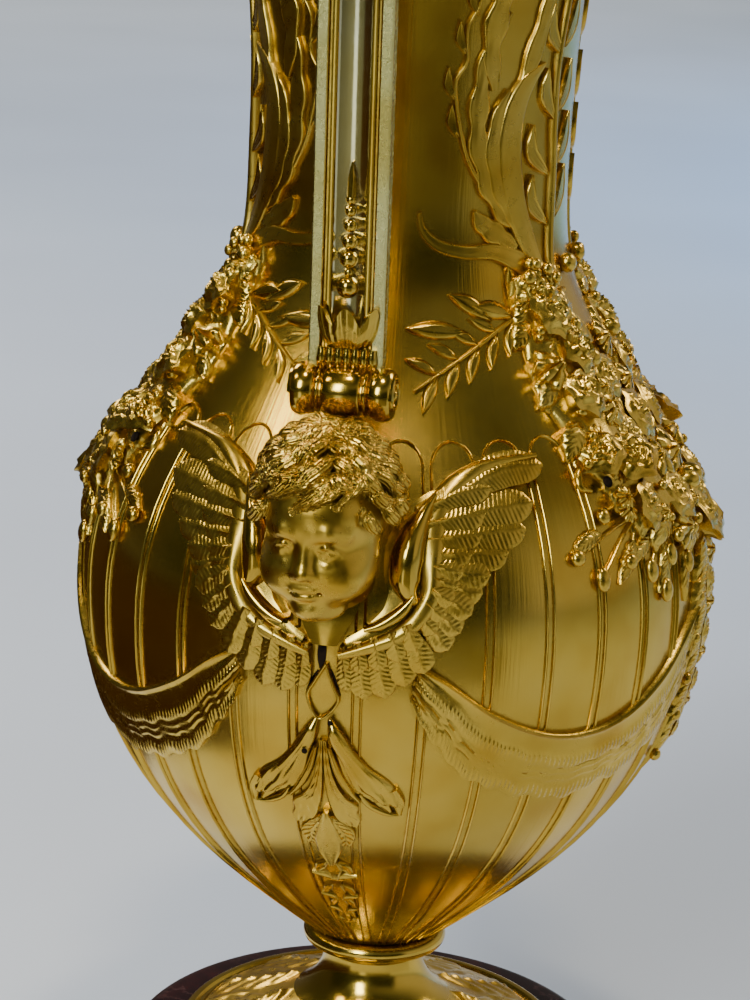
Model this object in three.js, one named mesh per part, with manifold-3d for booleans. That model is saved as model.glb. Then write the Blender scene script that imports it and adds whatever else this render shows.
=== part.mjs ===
import * as THREE from 'three';
import { mergeVertices } from 'three/addons/utils/BufferGeometryUtils.js';
import Module from 'manifold-3d';

// Millimetres, +Z up. The plinth stands on z = 0 with the vase axis on x = y = 0.
// The handles are on -Y (front) and +Y (back), the two main faces on -X and +X.

// Plinth
const PLINTH_RADIUS = 66;
const PLINTH_HEIGHT = 31;
const PLINTH_EDGE = 4;
const PLINTH_SIDES = 40;

// Foot
const FOOT_RADIUS = 52;
const FOOT_RIM = 4.2;
const STEM_RADIUS = 13.6;
const COLLAR_RADIUS = 19.2;
const COLLAR_TOP = 66;
const FOOT_LEAVES = 8;
const FOOT_SIDES = 24;

// Vase body and neck
const SEAT_RADIUS = 17;
const BODY_BOTTOM = 66.3;
const BODY_RADIUS = 80;
const BELLY_Z = 166;
const SHOULDER_RADIUS = 50.7;
const SHOULDER_Z = 230;
const NECK_RADIUS = 39.6;
const NECK_Z = 272;
const MOUTH_RADIUS = 49;
const LIP_Z = 360;
const LIP_RADIUS = 55;
const TOTAL_HEIGHT = 372;
const WALL = 3.4;
const RIBS = 32;
const FLUTE_DEPTH = 1;
const FLUTE_HEAD = 214;

// Handles
const STRAP_WIDTH = 17.7;
const STRAP_THICK = 5;
const STRAP_FOOT = 70;
const STRAP_TOP = 75;
const ROLL_RADIUS = 6.4;
const ROLL_LENGTH = 24;
const ROLL_Y = 72;
const ROLL_Z = 229;

// Cherub heads
const HEAD_Y = 86;
const HEAD_Z = 201;
const HEAD_WIDTH = 33;

const GAP = 0.3;
const DEG = Math.PI / 180;

const wasm = await Module();
wasm.setup();

function toSolid(geometry) {
  const bare = geometry.clone();
  bare.deleteAttribute('normal');
  bare.deleteAttribute('uv');
  const welded = mergeVertices(bare, 1e-4);
  const mesh = new wasm.Mesh({
    numProp: 3,
    vertProperties: new Float32Array(welded.attributes.position.array),
    triVerts: new Uint32Array(welded.index.array),
  });
  mesh.merge();
  return new wasm.Manifold(mesh);
}

function toGeometry(solid) {
  const mesh = solid.getMesh();
  const geometry = new THREE.BufferGeometry();
  geometry.setAttribute('position', new THREE.BufferAttribute(new Float32Array(mesh.vertProperties), 3));
  geometry.setIndex(new THREE.BufferAttribute(new Uint32Array(mesh.triVerts), 1));
  return geometry;
}

function indexed(points, faces) {
  const geometry = new THREE.BufferGeometry().setFromPoints(points);
  geometry.setIndex(faces.flat());
  return geometry;
}

// Join the parts into one body; small pockets shut in between them are filled
function joined(geometries) {
  const whole = geometries.map(toSolid).reduce((sum, part) => sum.add(part));
  const shells = whole.decompose();
  return shells.reduce((best, shell) => (shell.volume() > best.volume() ? shell : best));
}

function turned(outline, sides) {
  const geometry = new THREE.LatheGeometry(outline.map(([r, z]) => new THREE.Vector2(r, z)), sides);
  return geometry.rotateX(Math.PI / 2);
}

function ball(radius, detail, scale, place) {
  const geometry = new THREE.IcosahedronGeometry(radius, detail);
  return geometry.scale(...scale).translate(...place);
}

// Outer profile of the body and neck, seat to mouth
const profile = new THREE.Path();
profile.moveTo(SEAT_RADIUS, BODY_BOTTOM);
profile.bezierCurveTo(48.8, 92.4, BODY_RADIUS, 115.4, BODY_RADIUS, BELLY_Z);
profile.bezierCurveTo(BODY_RADIUS, 195.8, 63.9, 207.7, SHOULDER_RADIUS, SHOULDER_Z);
profile.bezierCurveTo(40.5, 247.2, NECK_RADIUS, 254.5, NECK_RADIUS, NECK_Z);
profile.bezierCurveTo(NECK_RADIUS, 305, 41, 335, MOUTH_RADIUS, LIP_Z);
const trace = profile.getSpacedPoints(300);

function profileAt(z) {
  let i = 1;
  while (i < trace.length - 1 && trace[i].y < z) i += 1;
  const a = trace[i - 1];
  const b = trace[i];
  const t = Math.min(1, Math.max(0, (z - a.y) / (b.y - a.y)));
  const run = b.clone().sub(a).normalize();
  return { r: a.x + (b.x - a.x) * t, nr: run.y, nz: -run.x };
}

// A point at height h over the vase skin, phi degrees round from the front handle
function onSkin(phi, z, h) {
  const { r, nr, nz } = profileAt(z);
  const out = r + nr * h;
  return new THREE.Vector3(out * Math.sin(phi * DEG), -out * Math.cos(phi * DEG), z + nz * h);
}

// Local sheet on the skin: along runs at the given angle from the +phi direction, across to its left
function patch(phi, z, angle, bend = 0) {
  const here = profileAt(z);
  return (along, across, h) => {
    const turn = (angle + bend * along) * DEG;
    const u = along * Math.cos(turn) - across * Math.sin(turn);
    const v = along * Math.sin(turn) + across * Math.cos(turn);
    const zz = z + v * here.nr;
    return onSkin(phi + u / profileAt(zz).r / DEG, zz, h);
  };
}

// A strip solid through stations, each a left, crest and right point, closed by a base and a tip point
function strip(base, stations, tip) {
  const points = [base, ...stations.flat(), tip];
  const last = points.length - 1;
  const faces = [[0, 2, 1], [0, 3, 2], [0, 1, 3]];
  for (let i = 1; i + 5 <= last; i += 3) {
    faces.push([i, i + 1, i + 4], [i, i + 4, i + 3]);
    faces.push([i + 1, i + 2, i + 5], [i + 1, i + 5, i + 4]);
    faces.push([i, i + 3, i + 5], [i, i + 5, i + 2]);
  }
  const e = last - 3;
  faces.push([e, e + 1, last], [e + 1, e + 2, last], [e, last, e + 2]);
  return indexed(points, faces);
}

// A leaf or feather with a crest down its middle
function leaf({ phi, z, angle, length, width, height, sink = -1.2, bend = 0, stations = 2, full = 0.45 }) {
  const at = patch(phi, z, angle, bend);
  const rows = [];
  for (let i = 1; i <= stations; i += 1) {
    const t = i / (stations + 1);
    const half = 0.5 * width * Math.sin(Math.PI * t ** (Math.log(0.5) / Math.log(full))) ** 0.7;
    rows.push([at(t * length, half, sink), at(t * length, 0, height * (1.1 - 0.4 * t)), at(t * length, -half, sink)]);
  }
  return strip(at(0, 0, sink), rows, at(length, 0, sink));
}

function reach(phi, z, phiTip, zTip) {
  const middle = profileAt((z + zTip) / 2);
  const u = (phiTip - phi) * DEG * middle.r;
  const v = (zTip - z) / middle.nr;
  return { phi, z, angle: Math.atan2(v, u) / DEG, length: Math.hypot(u, v) };
}

// An open flower: a lobed cup over the skin
function bloom(phi, z, radius, height, petals) {
  const at = patch(phi, z, 0);
  const count = petals * 2;
  const points = [at(0, 0, -1.2), at(0, 0, height)];
  for (let i = 0; i < count; i += 1) {
    const turn = (i / count) * 2 * Math.PI;
    const lobe = i % 2 ? 0.76 : 1;
    points.push(at(0.8 * radius * Math.cos(turn), 0.8 * radius * Math.sin(turn), -1.2));
    points.push(at(lobe * radius * Math.cos(turn), lobe * radius * Math.sin(turn), height * (0.45 + 0.3 * lobe)));
  }
  const faces = [];
  for (let i = 0; i < count; i += 1) {
    const a = 2 + 2 * i;
    const b = 2 + 2 * ((i + 1) % count);
    faces.push([0, b, a], [a, b, b + 1], [a, b + 1, a + 1], [1, a + 1, b + 1]);
  }
  return indexed(points, faces);
}

// Ribbed skin of the vase, filled to the axis; above the flute heads the columns halve
function skin() {
  const rows = [BODY_BOTTOM, 82, 106, 136, 168, 195, FLUTE_HEAD].map((z) => ({ r: profileAt(z).r, z, n: 2 * RIBS }));
  for (const z of [226, 240, 258, 318, 348, LIP_Z]) rows.push({ r: profileAt(z).r, z, n: RIBS });
  rows.push({ r: LIP_RADIUS, z: LIP_Z + 5, n: RIBS }, { r: LIP_RADIUS - 1, z: TOTAL_HEIGHT, n: RIBS });
  const points = [];
  const faces = [];
  for (const row of rows) {
    row.first = points.length;
    const fluted = row.z > BODY_BOTTOM && row.z < FLUTE_HEAD;
    for (let i = 0; i < row.n; i += 1) {
      const turn = (i / row.n + 0.5 / RIBS) * 2 * Math.PI;
      const out = fluted && i % 2 ? row.r - FLUTE_DEPTH : row.r;
      points.push(new THREE.Vector3(out * Math.sin(turn), -out * Math.cos(turn), row.z));
    }
  }
  for (let j = 0; j + 1 < rows.length; j += 1) {
    const [low, high] = [rows[j], rows[j + 1]];
    const step = low.n / high.n;
    for (let i = 0; i < high.n; i += 1) {
      const a = low.first + step * i;
      const c = low.first + ((step * (i + 1)) % low.n);
      const b = step > 1 ? a + 1 : c;
      const d = high.first + i;
      const e = high.first + ((i + 1) % high.n);
      faces.push([a, b, d], [b, e, d]);
      if (step > 1) faces.push([b, c, e]);
    }
  }
  points.push(new THREE.Vector3(0, 0, BODY_BOTTOM), new THREE.Vector3(0, 0, TOTAL_HEIGHT));
  const top = rows.at(-1);
  for (let i = 0; i < 2 * RIBS; i += 1) faces.push([points.length - 2, (i + 1) % (2 * RIBS), i]);
  for (let i = 0; i < top.n; i += 1) faces.push([points.length - 1, top.first + i, top.first + ((i + 1) % top.n)]);
  return indexed(points, faces);
}

function hollow() {
  const inside = [[0, BODY_BOTTOM + 4]];
  for (const z of [78, 106, 136, BELLY_Z, 194, 222, 244, 266, 330, LIP_Z]) {
    const { r, nr, nz } = profileAt(z);
    inside.push([Math.max(r - WALL * nr, 1), Math.max(z - WALL * nz, BODY_BOTTOM + 4)]);
  }
  inside.push([MOUTH_RADIUS - 0.6, TOTAL_HEIGHT + 1], [0, TOTAL_HEIGHT + 1]);
  return turned(inside, 18);
}

// Skin grown by a small clearance, to cut what lies against the vase
function clearance(low, high, grow) {
  const outline = [[0, low]];
  for (let z = low; z <= high; z += 10) outline.push([(profileAt(z).r + grow) / Math.cos(Math.PI / 40), z]);
  outline.push([0, outline.at(-1)[1]]);
  return toSolid(turned(outline, 40));
}

// One cloth swag between the wing and the main face, upper and lower edges as hanging curves
function swag(side) {
  const count = 6;
  const sections = [];
  for (let i = 0; i <= count; i += 1) {
    const t = i / count;
    const sag = 1 - (2 * t - 1) ** 2;
    const phi = side * (18 + 62 * t);
    const high = 165 - 19 * sag;
    const wide = 7 + 9 * sag;
    const fold = i % 2 ? 0.5 : 0;
    sections.push([
      onSkin(phi, high, -1.4),
      onSkin(phi, high - 0.25 * wide, 2.8 + fold),
      onSkin(phi, high - 0.8 * wide, 2.4 - fold),
      onSkin(phi, high - wide, -1.4),
    ]);
  }
  const width = sections[0].length;
  const faces = [];
  for (let j = 0; j < count; j += 1) {
    for (let i = 0; i < width; i += 1) {
      const k = (i + 1) % width;
      const a = j * width;
      faces.push([a + i, a + k, a + width + k], [a + i, a + width + k, a + width + i]);
    }
  }
  const end = count * width;
  for (let i = 1; i + 1 < width; i += 1) faces.push([0, i + 1, i], [end, end + i, end + i + 1]);
  const oriented = side > 0 ? faces.map(([a, b, c]) => [a, c, b]) : faces;
  return indexed(sections.flat(), oriented);
}

// Husk drop under the cherub
function drop() {
  const parts = [];
  for (const side of [-1, 1]) {
    parts.push(leaf({ ...reach(side, 150, side * 13.5, 127), width: 8, height: 4, full: 0.6 }));
    parts.push(leaf({ ...reach(side, 146, side * 6, 121), width: 6, height: 3.4 }));
  }
  parts.push(leaf({ phi: 0, z: 157, angle: -90, length: 76, width: 8, height: 4.4, stations: 4, full: 0.5 }));
  return parts;
}

// Flower garland of one quarter, from the neck base to the middle of the main face
function garland(side) {
  const path = new THREE.SplineCurve([
    new THREE.Vector2(56, 246),
    new THREE.Vector2(58, 226),
    new THREE.Vector2(64, 206),
    new THREE.Vector2(77, 192),
  ]);
  const parts = [];
  for (let i = 0; i < 3; i += 1) {
    const { x, y } = path.getPoint(0.06 + 0.43 * i);
    parts.push(bloom(side * x, y, 11.5, 7, 4));
  }
  for (let i = 0; i < 2; i += 1) {
    const { x, y } = path.getPoint(0.3 + 0.4 * i);
    const lean = i % 2 ? -1 : 1;
    const angle = (side > 0 ? -50 : 230) + side * lean * 62;
    parts.push(leaf({ phi: side * x, z: y, angle, length: 21, width: 11, height: 4.4 }));
  }
  parts.push(leaf({ ...reach(side * 62, 190, side * 40, 181), width: 9, height: 2.8 }));
  return parts;
}

// Foliage hanging in the middle of a main face
function pendant(phi) {
  const parts = [bloom(phi, 186, 11, 8, 4)];
  parts.push(leaf({ phi, z: 180, angle: -90, length: 58, width: 13, height: 5, stations: 3, full: 0.4 }));
  for (const side of [-1, 1]) {
    parts.push(leaf({ ...reach(phi, 172, phi + side * 11, 150), width: 9, height: 4 }));
  }
  return parts;
}

// Leaf spray on the shoulder and leaves on the neck, one quarter
function sprays(side) {
  const parts = [];
  const node = [side * 48, 241];
  parts.push(leaf({ ...reach(...node, side * 11, 238), width: 7, height: 2.2 }));
  parts.push(leaf({ ...reach(side * 60, 250, side * 17, 263), width: 13, height: 2.8 }));
  parts.push(leaf({ ...reach(side * 62, 252, side * 29, 306), width: 15, height: 2.8, stations: 3 }));
  parts.push(leaf({ ...reach(side * 73, 248, side * 70, 330), width: 12, height: 2.6 }));
  return parts;
}

// Winged head: one wing as a fan of feathers over the ribs, clear of the skin
function wing(side) {
  const sink = 0.7;
  const parts = [leaf({ ...reach(side * 6, 195, side * 42, 210), width: 9, height: 4.2, sink, stations: 3, full: 0.4 })];
  const tips = new THREE.SplineCurve([
    new THREE.Vector2(40, 204),
    new THREE.Vector2(33, 194),
    new THREE.Vector2(24, 182),
    new THREE.Vector2(16, 168),
    new THREE.Vector2(5, 159),
  ]);
  const feathers = 5;
  for (let i = 0; i < feathers; i += 1) {
    const t = i / (feathers - 1);
    const tip = tips.getPoint(t);
    const root = reach(side * (10 - 8 * t), 192 - 13 * t, side * tip.x, tip.y);
    parts.push(leaf({ ...root, width: 11, height: 2.6 + 0.5 * (i % 2), sink, full: 0.62 }));
  }
  const inner = tips.getPoint(0.4);
  const root = reach(side * 5, 187, side * (3 + 0.6 * inner.x), 0.6 * inner.y + 0.4 * 187);
  parts.push(leaf({ ...root, width: 19, height: 5.4, sink, full: 0.62 }));
  return parts;
}

// A plain child's head worked from one ball: each swelling or hollow is centred on a direction
const FEATURES = [
  { way: [0, -0.5, -0.87], push: 4, spread: 0.3 },
  { way: [0.5, -0.72, -0.5], push: 3, spread: 0.36 },
  { way: [-0.5, -0.72, -0.5], push: 3, spread: 0.36 },
  { way: [0, -0.88, -0.47], push: 6, spread: 0.22 },
  { way: [0, -0.7, -0.71], push: 2, spread: 0.2 },
  { way: [0.36, -0.92, -0.16], push: -3, spread: 0.24 },
  { way: [-0.36, -0.92, -0.16], push: -3, spread: 0.24 },
  { way: [0, -0.97, 0.22], push: 1.6, spread: 0.4 },
];

function head() {
  const geometry = new THREE.SphereGeometry(1, 22, 16).rotateX(Math.PI / 2);
  const place = geometry.attributes.position;
  const way = new THREE.Vector3();
  for (let i = 0; i < place.count; i += 1) {
    way.fromBufferAttribute(place, i);
    let push = 0;
    for (const feature of FEATURES) {
      const off = way.distanceTo(new THREE.Vector3(...feature.way));
      push += feature.push * Math.exp(-((off / feature.spread) ** 2));
    }
    const crown = way.z + 0.28 * Math.max(0, way.y) + 0.12 * Math.abs(way.x) - 0.42;
    const hair = THREE.MathUtils.smoothstep(crown, -0.08, 0.1);
    const turn = Math.atan2(way.x, -way.y);
    const lock = Math.cos(5 * turn + 9 * way.z) * (1 - way.z ** 6);
    push += hair * (2.6 + 1.8 * lock);
    place.setXYZ(
      i,
      way.x * (HEAD_WIDTH / 2 - 1.5 + push),
      way.y * (17 + push) - HEAD_Y,
      way.z * (19.5 + push) + HEAD_Z,
    );
  }
  const rest = ball(8, 0, [1.2, 1.2, 1], [0, -HEAD_Y + 10, HEAD_Z + 17]);
  const throat = ball(9, 0, [1, 1.3, 1.2], [0, -HEAD_Y + 6, HEAD_Z - 17]);
  return [geometry, rest, throat];
}

// Strap handle with grooves, bead row, calyx and scroll roll, standing on -Y
const strapPath = new THREE.Path();
strapPath.moveTo(STRAP_FOOT, ROLL_Z + 2);
strapPath.bezierCurveTo(STRAP_FOOT, 262, STRAP_TOP - 1, 300, STRAP_TOP, 326);
strapPath.bezierCurveTo(STRAP_TOP + 1, 348, 60, 362, 44, 350);

function strap() {
  const half = STRAP_WIDTH / 2;
  const t = STRAP_THICK / 2;
  const outline = [[-half, -t], [-half, t], [-5.6, t], [-5.2, t - 1.2], [0, t - 2.4]];
  const section = [...outline, ...outline.slice(0, 4).reverse().map(([x, d]) => [-x, d])];
  const points = [];
  const faces = [];
  const stops = [0, 0.3, 0.58, 0.68, 0.76, 0.84, 0.92, 1];
  for (const u of stops) {
    const p = strapPath.getPointAt(u);
    const d = strapPath.getTangentAt(u);
    for (const [x, out] of section) points.push(new THREE.Vector3(x, -(p.x + out * d.y), p.y - out * d.x));
  }
  const n = section.length;
  for (let j = 0; j + 1 < stops.length; j += 1) {
    for (let i = 0; i < n; i += 1) {
      const k = (i + 1) % n;
      faces.push([j * n + i, j * n + k, (j + 1) * n + k], [j * n + i, (j + 1) * n + k, (j + 1) * n + i]);
    }
  }
  const caps = THREE.ShapeUtils.triangulateShape(section.map(([x, d]) => new THREE.Vector2(x, d)), []);
  const end = (stops.length - 1) * n;
  for (const [a, b, c] of caps) faces.push([a, b, c], [end + a, end + c, end + b]);
  const geometry = indexed(points, faces);
  return toSolid(geometry).volume() > 0 ? geometry : indexed(points, faces.map(([a, b, c]) => [a, c, b]));
}

function handle() {
  const parts = [strap()];
  for (let i = 0; i < 4; i += 1) {
    const p = strapPath.getPointAt(0.13 + 0.035 * i);
    parts.push(ball(2.8 - 0.4 * i, 0, [1, 1, 1], [0, -p.x - 1.2, p.y]));
  }
  for (const side of [-1, 0, 1]) {
    parts.push(ball(3.2, 0, [1, 0.8, 1.9], [side * 4.2, -STRAP_FOOT - 3, ROLL_Z + 11.5 - Math.abs(side)]));
  }
  const r = ROLL_RADIUS;
  const band = ROLL_LENGTH / 3;
  const outline = [[0, 0], [r * 0.72, 0]];
  for (let i = 0; i < 3; i += 1) outline.push([r, (i + 0.28) * band], [r, (i + 0.72) * band], [r * 0.76, (i + 1) * band]);
  outline.push([0, ROLL_LENGTH]);
  const roll = new THREE.LatheGeometry(outline.map(([a, b]) => new THREE.Vector2(a, b)), 10);
  parts.push(roll.rotateZ(-Math.PI / 2).translate(-ROLL_LENGTH / 2, -ROLL_Y, ROLL_Z));
  return joined(parts);
}

function foot() {
  const low = PLINTH_HEIGHT + GAP;
  const outline = [
    [0, low],
    [FOOT_RADIUS, low],
    [FOOT_RADIUS, low + FOOT_RIM - 1],
    [FOOT_RADIUS - 1.6, low + FOOT_RIM],
    [FOOT_RADIUS - 4, low + FOOT_RIM - 0.8],
  ];
  const flare = new THREE.CubicBezierCurve(
    new THREE.Vector2(FOOT_RADIUS - 6, low + 5),
    new THREE.Vector2(30, low + 10),
    new THREE.Vector2(STEM_RADIUS, low + 14),
    new THREE.Vector2(STEM_RADIUS, COLLAR_TOP - 7),
  );
  for (const p of flare.getPoints(4)) outline.push([p.x, p.y]);
  outline.push([COLLAR_RADIUS, COLLAR_TOP - 2.6]);
  outline.push([COLLAR_RADIUS - 1, COLLAR_TOP], [0, COLLAR_TOP]);
  const parts = [turned(outline, FOOT_SIDES)];
  const petal = (turn) => {
    const place = (r, across, lift) => {
      const u = flare.getPoint(Math.min(1, Math.max(0, (FOOT_RADIUS - 6 - r) / 40)));
      return new THREE.Vector3(u.x, across, u.y + lift).applyAxisAngle(new THREE.Vector3(0, 0, 1), turn);
    };
    const rows = [[44, 5], [37, 5.4], [30, 3]].map(([r, half]) => [
      place(r, half, -1),
      place(r, 0, 1.8),
      place(r, -half, -1),
    ]);
    const base = place(FOOT_RADIUS - 5, 0, -1);
    const tip = place(23, 0, -1);
    const geometry = strip(base, rows, tip);
    return toSolid(geometry).volume() > 0 ? geometry : strip(base, rows.map((row) => row.reverse()), tip);
  };
  for (let i = 0; i < FOOT_LEAVES; i += 1) parts.push(petal(((i + 0.5) / FOOT_LEAVES) * 2 * Math.PI));
  return joined(parts);
}

function plinth() {
  const edge = [];
  for (let i = 0; i <= 2; i += 1) {
    const turn = (i / 2) * 90 * DEG;
    edge.push([
      PLINTH_RADIUS - PLINTH_EDGE * (1 - Math.cos(turn)),
      PLINTH_HEIGHT - PLINTH_EDGE * (1 - Math.sin(turn)),
    ]);
  }
  return turned([[0, 0], [PLINTH_RADIUS, 0], ...edge, [0, PLINTH_HEIGHT]], PLINTH_SIDES);
}

function flipped(geometry) {
  const turnedOver = geometry.clone();
  const index = turnedOver.index.array;
  for (let i = 0; i < index.length; i += 3) [index[i + 1], index[i + 2]] = [index[i + 2], index[i + 1]];
  return turnedOver;
}

function outward(geometry) {
  return toSolid(geometry).volume() > 0 ? geometry : flipped(geometry);
}

function vase() {
  const relief = [];
  for (const side of [-1, 1]) {
    relief.push(swag(side), ...garland(side), ...sprays(side));
  }
  relief.push(...drop());
  const front = relief.map(outward);
  const back = front.map((geometry) => geometry.clone().rotateZ(Math.PI));
  const sides = [...pendant(90), ...pendant(-90)].map(outward);
  return joined([skin(), ...front, ...back, ...sides]).subtract(toSolid(hollow()));
}

const bodySolid = vase();
const frontRoll = handle().subtract(clearance(300, LIP_Z, GAP));
const headSolid = joined(head().map(outward)).subtract(clearance(150, 230, 0.45));
const wings = wing(-1).concat(wing(1)).map((geometry) => toSolid(outward(geometry)));
const rollRoom = toSolid(ball(1, 2, [ROLL_LENGTH / 2 + 1, ROLL_RADIUS + GAP, ROLL_RADIUS + GAP], [0, -ROLL_Y, ROLL_Z]));
const cherubSolid = wings.reduce((sum, feather) => sum.add(feather), headSolid.subtract(rollRoom));

const gilt = new THREE.MeshStandardMaterial({ color: 0xa58339, metalness: 1, roughness: 0.35 });
const marble = new THREE.MeshStandardMaterial({ color: 0x2a0c0c, metalness: 0, roughness: 0.2 });

const part = new THREE.Group();
part.name = 'bronze_vase';

function add(name, geometry, material, turn = 0) {
  const mesh = new THREE.Mesh(turn ? geometry.clone().rotateZ(turn) : geometry, material);
  mesh.name = name;
  part.add(mesh);
}

add('marble_plinth', plinth(), marble);
add('foot', toGeometry(foot()), gilt);
add('vase', toGeometry(bodySolid), gilt);
add('cherub_front', toGeometry(cherubSolid), gilt);
add('cherub_back', toGeometry(cherubSolid), gilt, Math.PI);
add('handle_front', toGeometry(frontRoll), gilt);
add('handle_back', toGeometry(frontRoll), gilt, Math.PI);

export default part;
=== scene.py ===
import math

import bpy
import numpy as np
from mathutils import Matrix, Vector

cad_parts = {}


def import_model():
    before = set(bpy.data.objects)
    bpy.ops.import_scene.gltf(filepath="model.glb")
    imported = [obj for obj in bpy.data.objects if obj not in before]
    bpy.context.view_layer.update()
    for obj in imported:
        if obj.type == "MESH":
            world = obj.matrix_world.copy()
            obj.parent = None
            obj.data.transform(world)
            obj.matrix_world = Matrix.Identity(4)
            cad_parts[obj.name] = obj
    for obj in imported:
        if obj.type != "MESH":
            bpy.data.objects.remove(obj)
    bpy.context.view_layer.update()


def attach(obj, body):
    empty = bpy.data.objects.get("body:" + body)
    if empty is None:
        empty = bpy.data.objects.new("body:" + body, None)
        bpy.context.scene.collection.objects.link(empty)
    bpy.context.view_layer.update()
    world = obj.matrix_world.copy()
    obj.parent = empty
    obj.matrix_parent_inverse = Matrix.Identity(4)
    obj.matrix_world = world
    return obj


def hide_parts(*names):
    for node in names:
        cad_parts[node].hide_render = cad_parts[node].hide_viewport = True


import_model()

# Places in the list of finishes that each piece is given
GROUND, EDGE, WORK, STRAP, EXTRA = range(5)

# Sizes in millimetres, in the same frame as the solids; pieces are scaled to metres when made
MM = 0.001
WALL = 3.2
SUNK = -0.5
PLINTH_RADIUS, PLINTH_HEIGHT = 66, 31
FOOT_RADIUS, FOOT_LOW, STEM_RADIUS = 52, 31.3, 13.2
COLLAR_TOP = 66
COLLAR_LOW = COLLAR_TOP - 7.4
BODY_BOTTOM, LIP_Z = 66.3, 360
RIBS, FLUTE_HEAD = 32, 215.5
HEAD_Y, HEAD_Z = 86, 203
SKULL, SKULL_SIZE = (0, -1, 2), (14.2, 15.6, 16.2)
ROLL_Y, ROLL_Z, ROLL_LENGTH = 72, 229, 24


def bezier(points, n):
    p = np.array(points, float)
    t = np.linspace(0, 1, n)[:, None]
    return (1 - t) ** 3 * p[0] + 3 * (1 - t) ** 2 * t * p[1] + 3 * (1 - t) * t * t * p[2] + t**3 * p[3]


def circle(n):
    """Even angles of a full turn."""
    return np.linspace(0, 2 * np.pi, n, endpoint=False)


def lengths(points):
    """Distance along a line of points, from its start."""
    return np.concatenate([[0], np.cumsum(np.linalg.norm(np.diff(points, axis=0), axis=1))])


def tangents(points):
    """Unit directions along a line of points."""
    way = np.gradient(points, axis=0)
    return way / np.linalg.norm(way, axis=1)[:, None]


def unit(v):
    return v / np.linalg.norm(v)


def round_axis(r, a, z):
    """Points at radius r and height z, a radians round from the front handle."""
    return np.stack(np.broadcast_arrays(r * np.sin(a), -r * np.cos(a), z), -1)


def part_way(a, b, share):
    return (a[0] + (b[0] - a[0]) * share, a[1] + (b[1] - a[1]) * share)


def bowed(root, tip, aside, up):
    """Three points from root to tip, the middle one pushed out of line."""
    return [root, ((root[0] + tip[0]) / 2 + aside, (root[1] + tip[1]) / 2 + up), tip]


def joined_curve(*parts):
    return np.vstack([parts[0]] + [p[1:] for p in parts[1:]])


# Outer profile of body and neck, as radius and height
BELLY, SHOULDER, NECK, LIP = (80, 166), (50.7, 230), (39.6, 272), (49, LIP_Z)
PROFILE = joined_curve(
    bezier([(17, BODY_BOTTOM), (48.8, 92.4), (80, 115.4), BELLY], 90),
    bezier([BELLY, (80, 195.8), (63.9, 207.7), SHOULDER], 70),
    bezier([SHOULDER, (40.5, 247.2), (39.6, 254.5), NECK], 50),
    bezier([NECK, (39.6, 305), (41, 335), LIP], 60),
)
PR, PZ = PROFILE[:, 0], PROFILE[:, 1]
NR, NZ = tangents(PROFILE)[:, 1], -tangents(PROFILE)[:, 0]


def radius(z):
    return np.interp(z, PZ, PR)


def lean(z):
    return np.interp(z, PZ, NR)


def skin(phi, z, h):
    """Points at height h over the vase skin, phi degrees round from the front handle."""
    phi, z, h = np.broadcast_arrays(np.asarray(phi, float), np.asarray(z, float), np.asarray(h, float))
    nr, nz = np.interp(z, PZ, NR), np.interp(z, PZ, NZ)
    out = np.interp(z, PZ, PR) + nr * h
    return round_axis(out, np.radians(phi), z + nz * h)


def local_frame(phi, z, h):
    """Place and axes (round, up, out) on the skin."""
    a = math.radians(phi)
    nr, nz = float(np.interp(z, PZ, NR)), float(np.interp(z, PZ, NZ))
    out = np.array([nr * math.sin(a), -nr * math.cos(a), nz])
    round_ = np.array([math.cos(a), math.sin(a), 0.0])
    return skin(phi, z, h), round_, np.cross(out, round_), out


def spline(points, n):
    """Even points along a smooth curve through the given ones."""
    p = np.array(points, float)
    if len(p) == 2:
        return p[0] + (p[1] - p[0]) * np.linspace(0, 1, n)[:, None]
    q = np.vstack([2 * p[0] - p[1], p, 2 * p[-1] - p[-2]])
    out = []
    for i in range(len(p) - 1):
        t = np.linspace(0, 1, 24, endpoint=i == len(p) - 2)[:, None]
        a, b, c, d = q[i : i + 4]
        out.append(
            0.5
            * (2 * b + (c - a) * t + (2 * a - 5 * b + 4 * c - d) * t**2 + (3 * b - a - 3 * c + d) * t**3)
        )
    fine = np.vstack(out)
    s = lengths(fine)
    want = np.linspace(0, s[-1], n)
    return np.stack([np.interp(want, s, fine[:, k]) for k in range(fine.shape[1])], -1)


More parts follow.
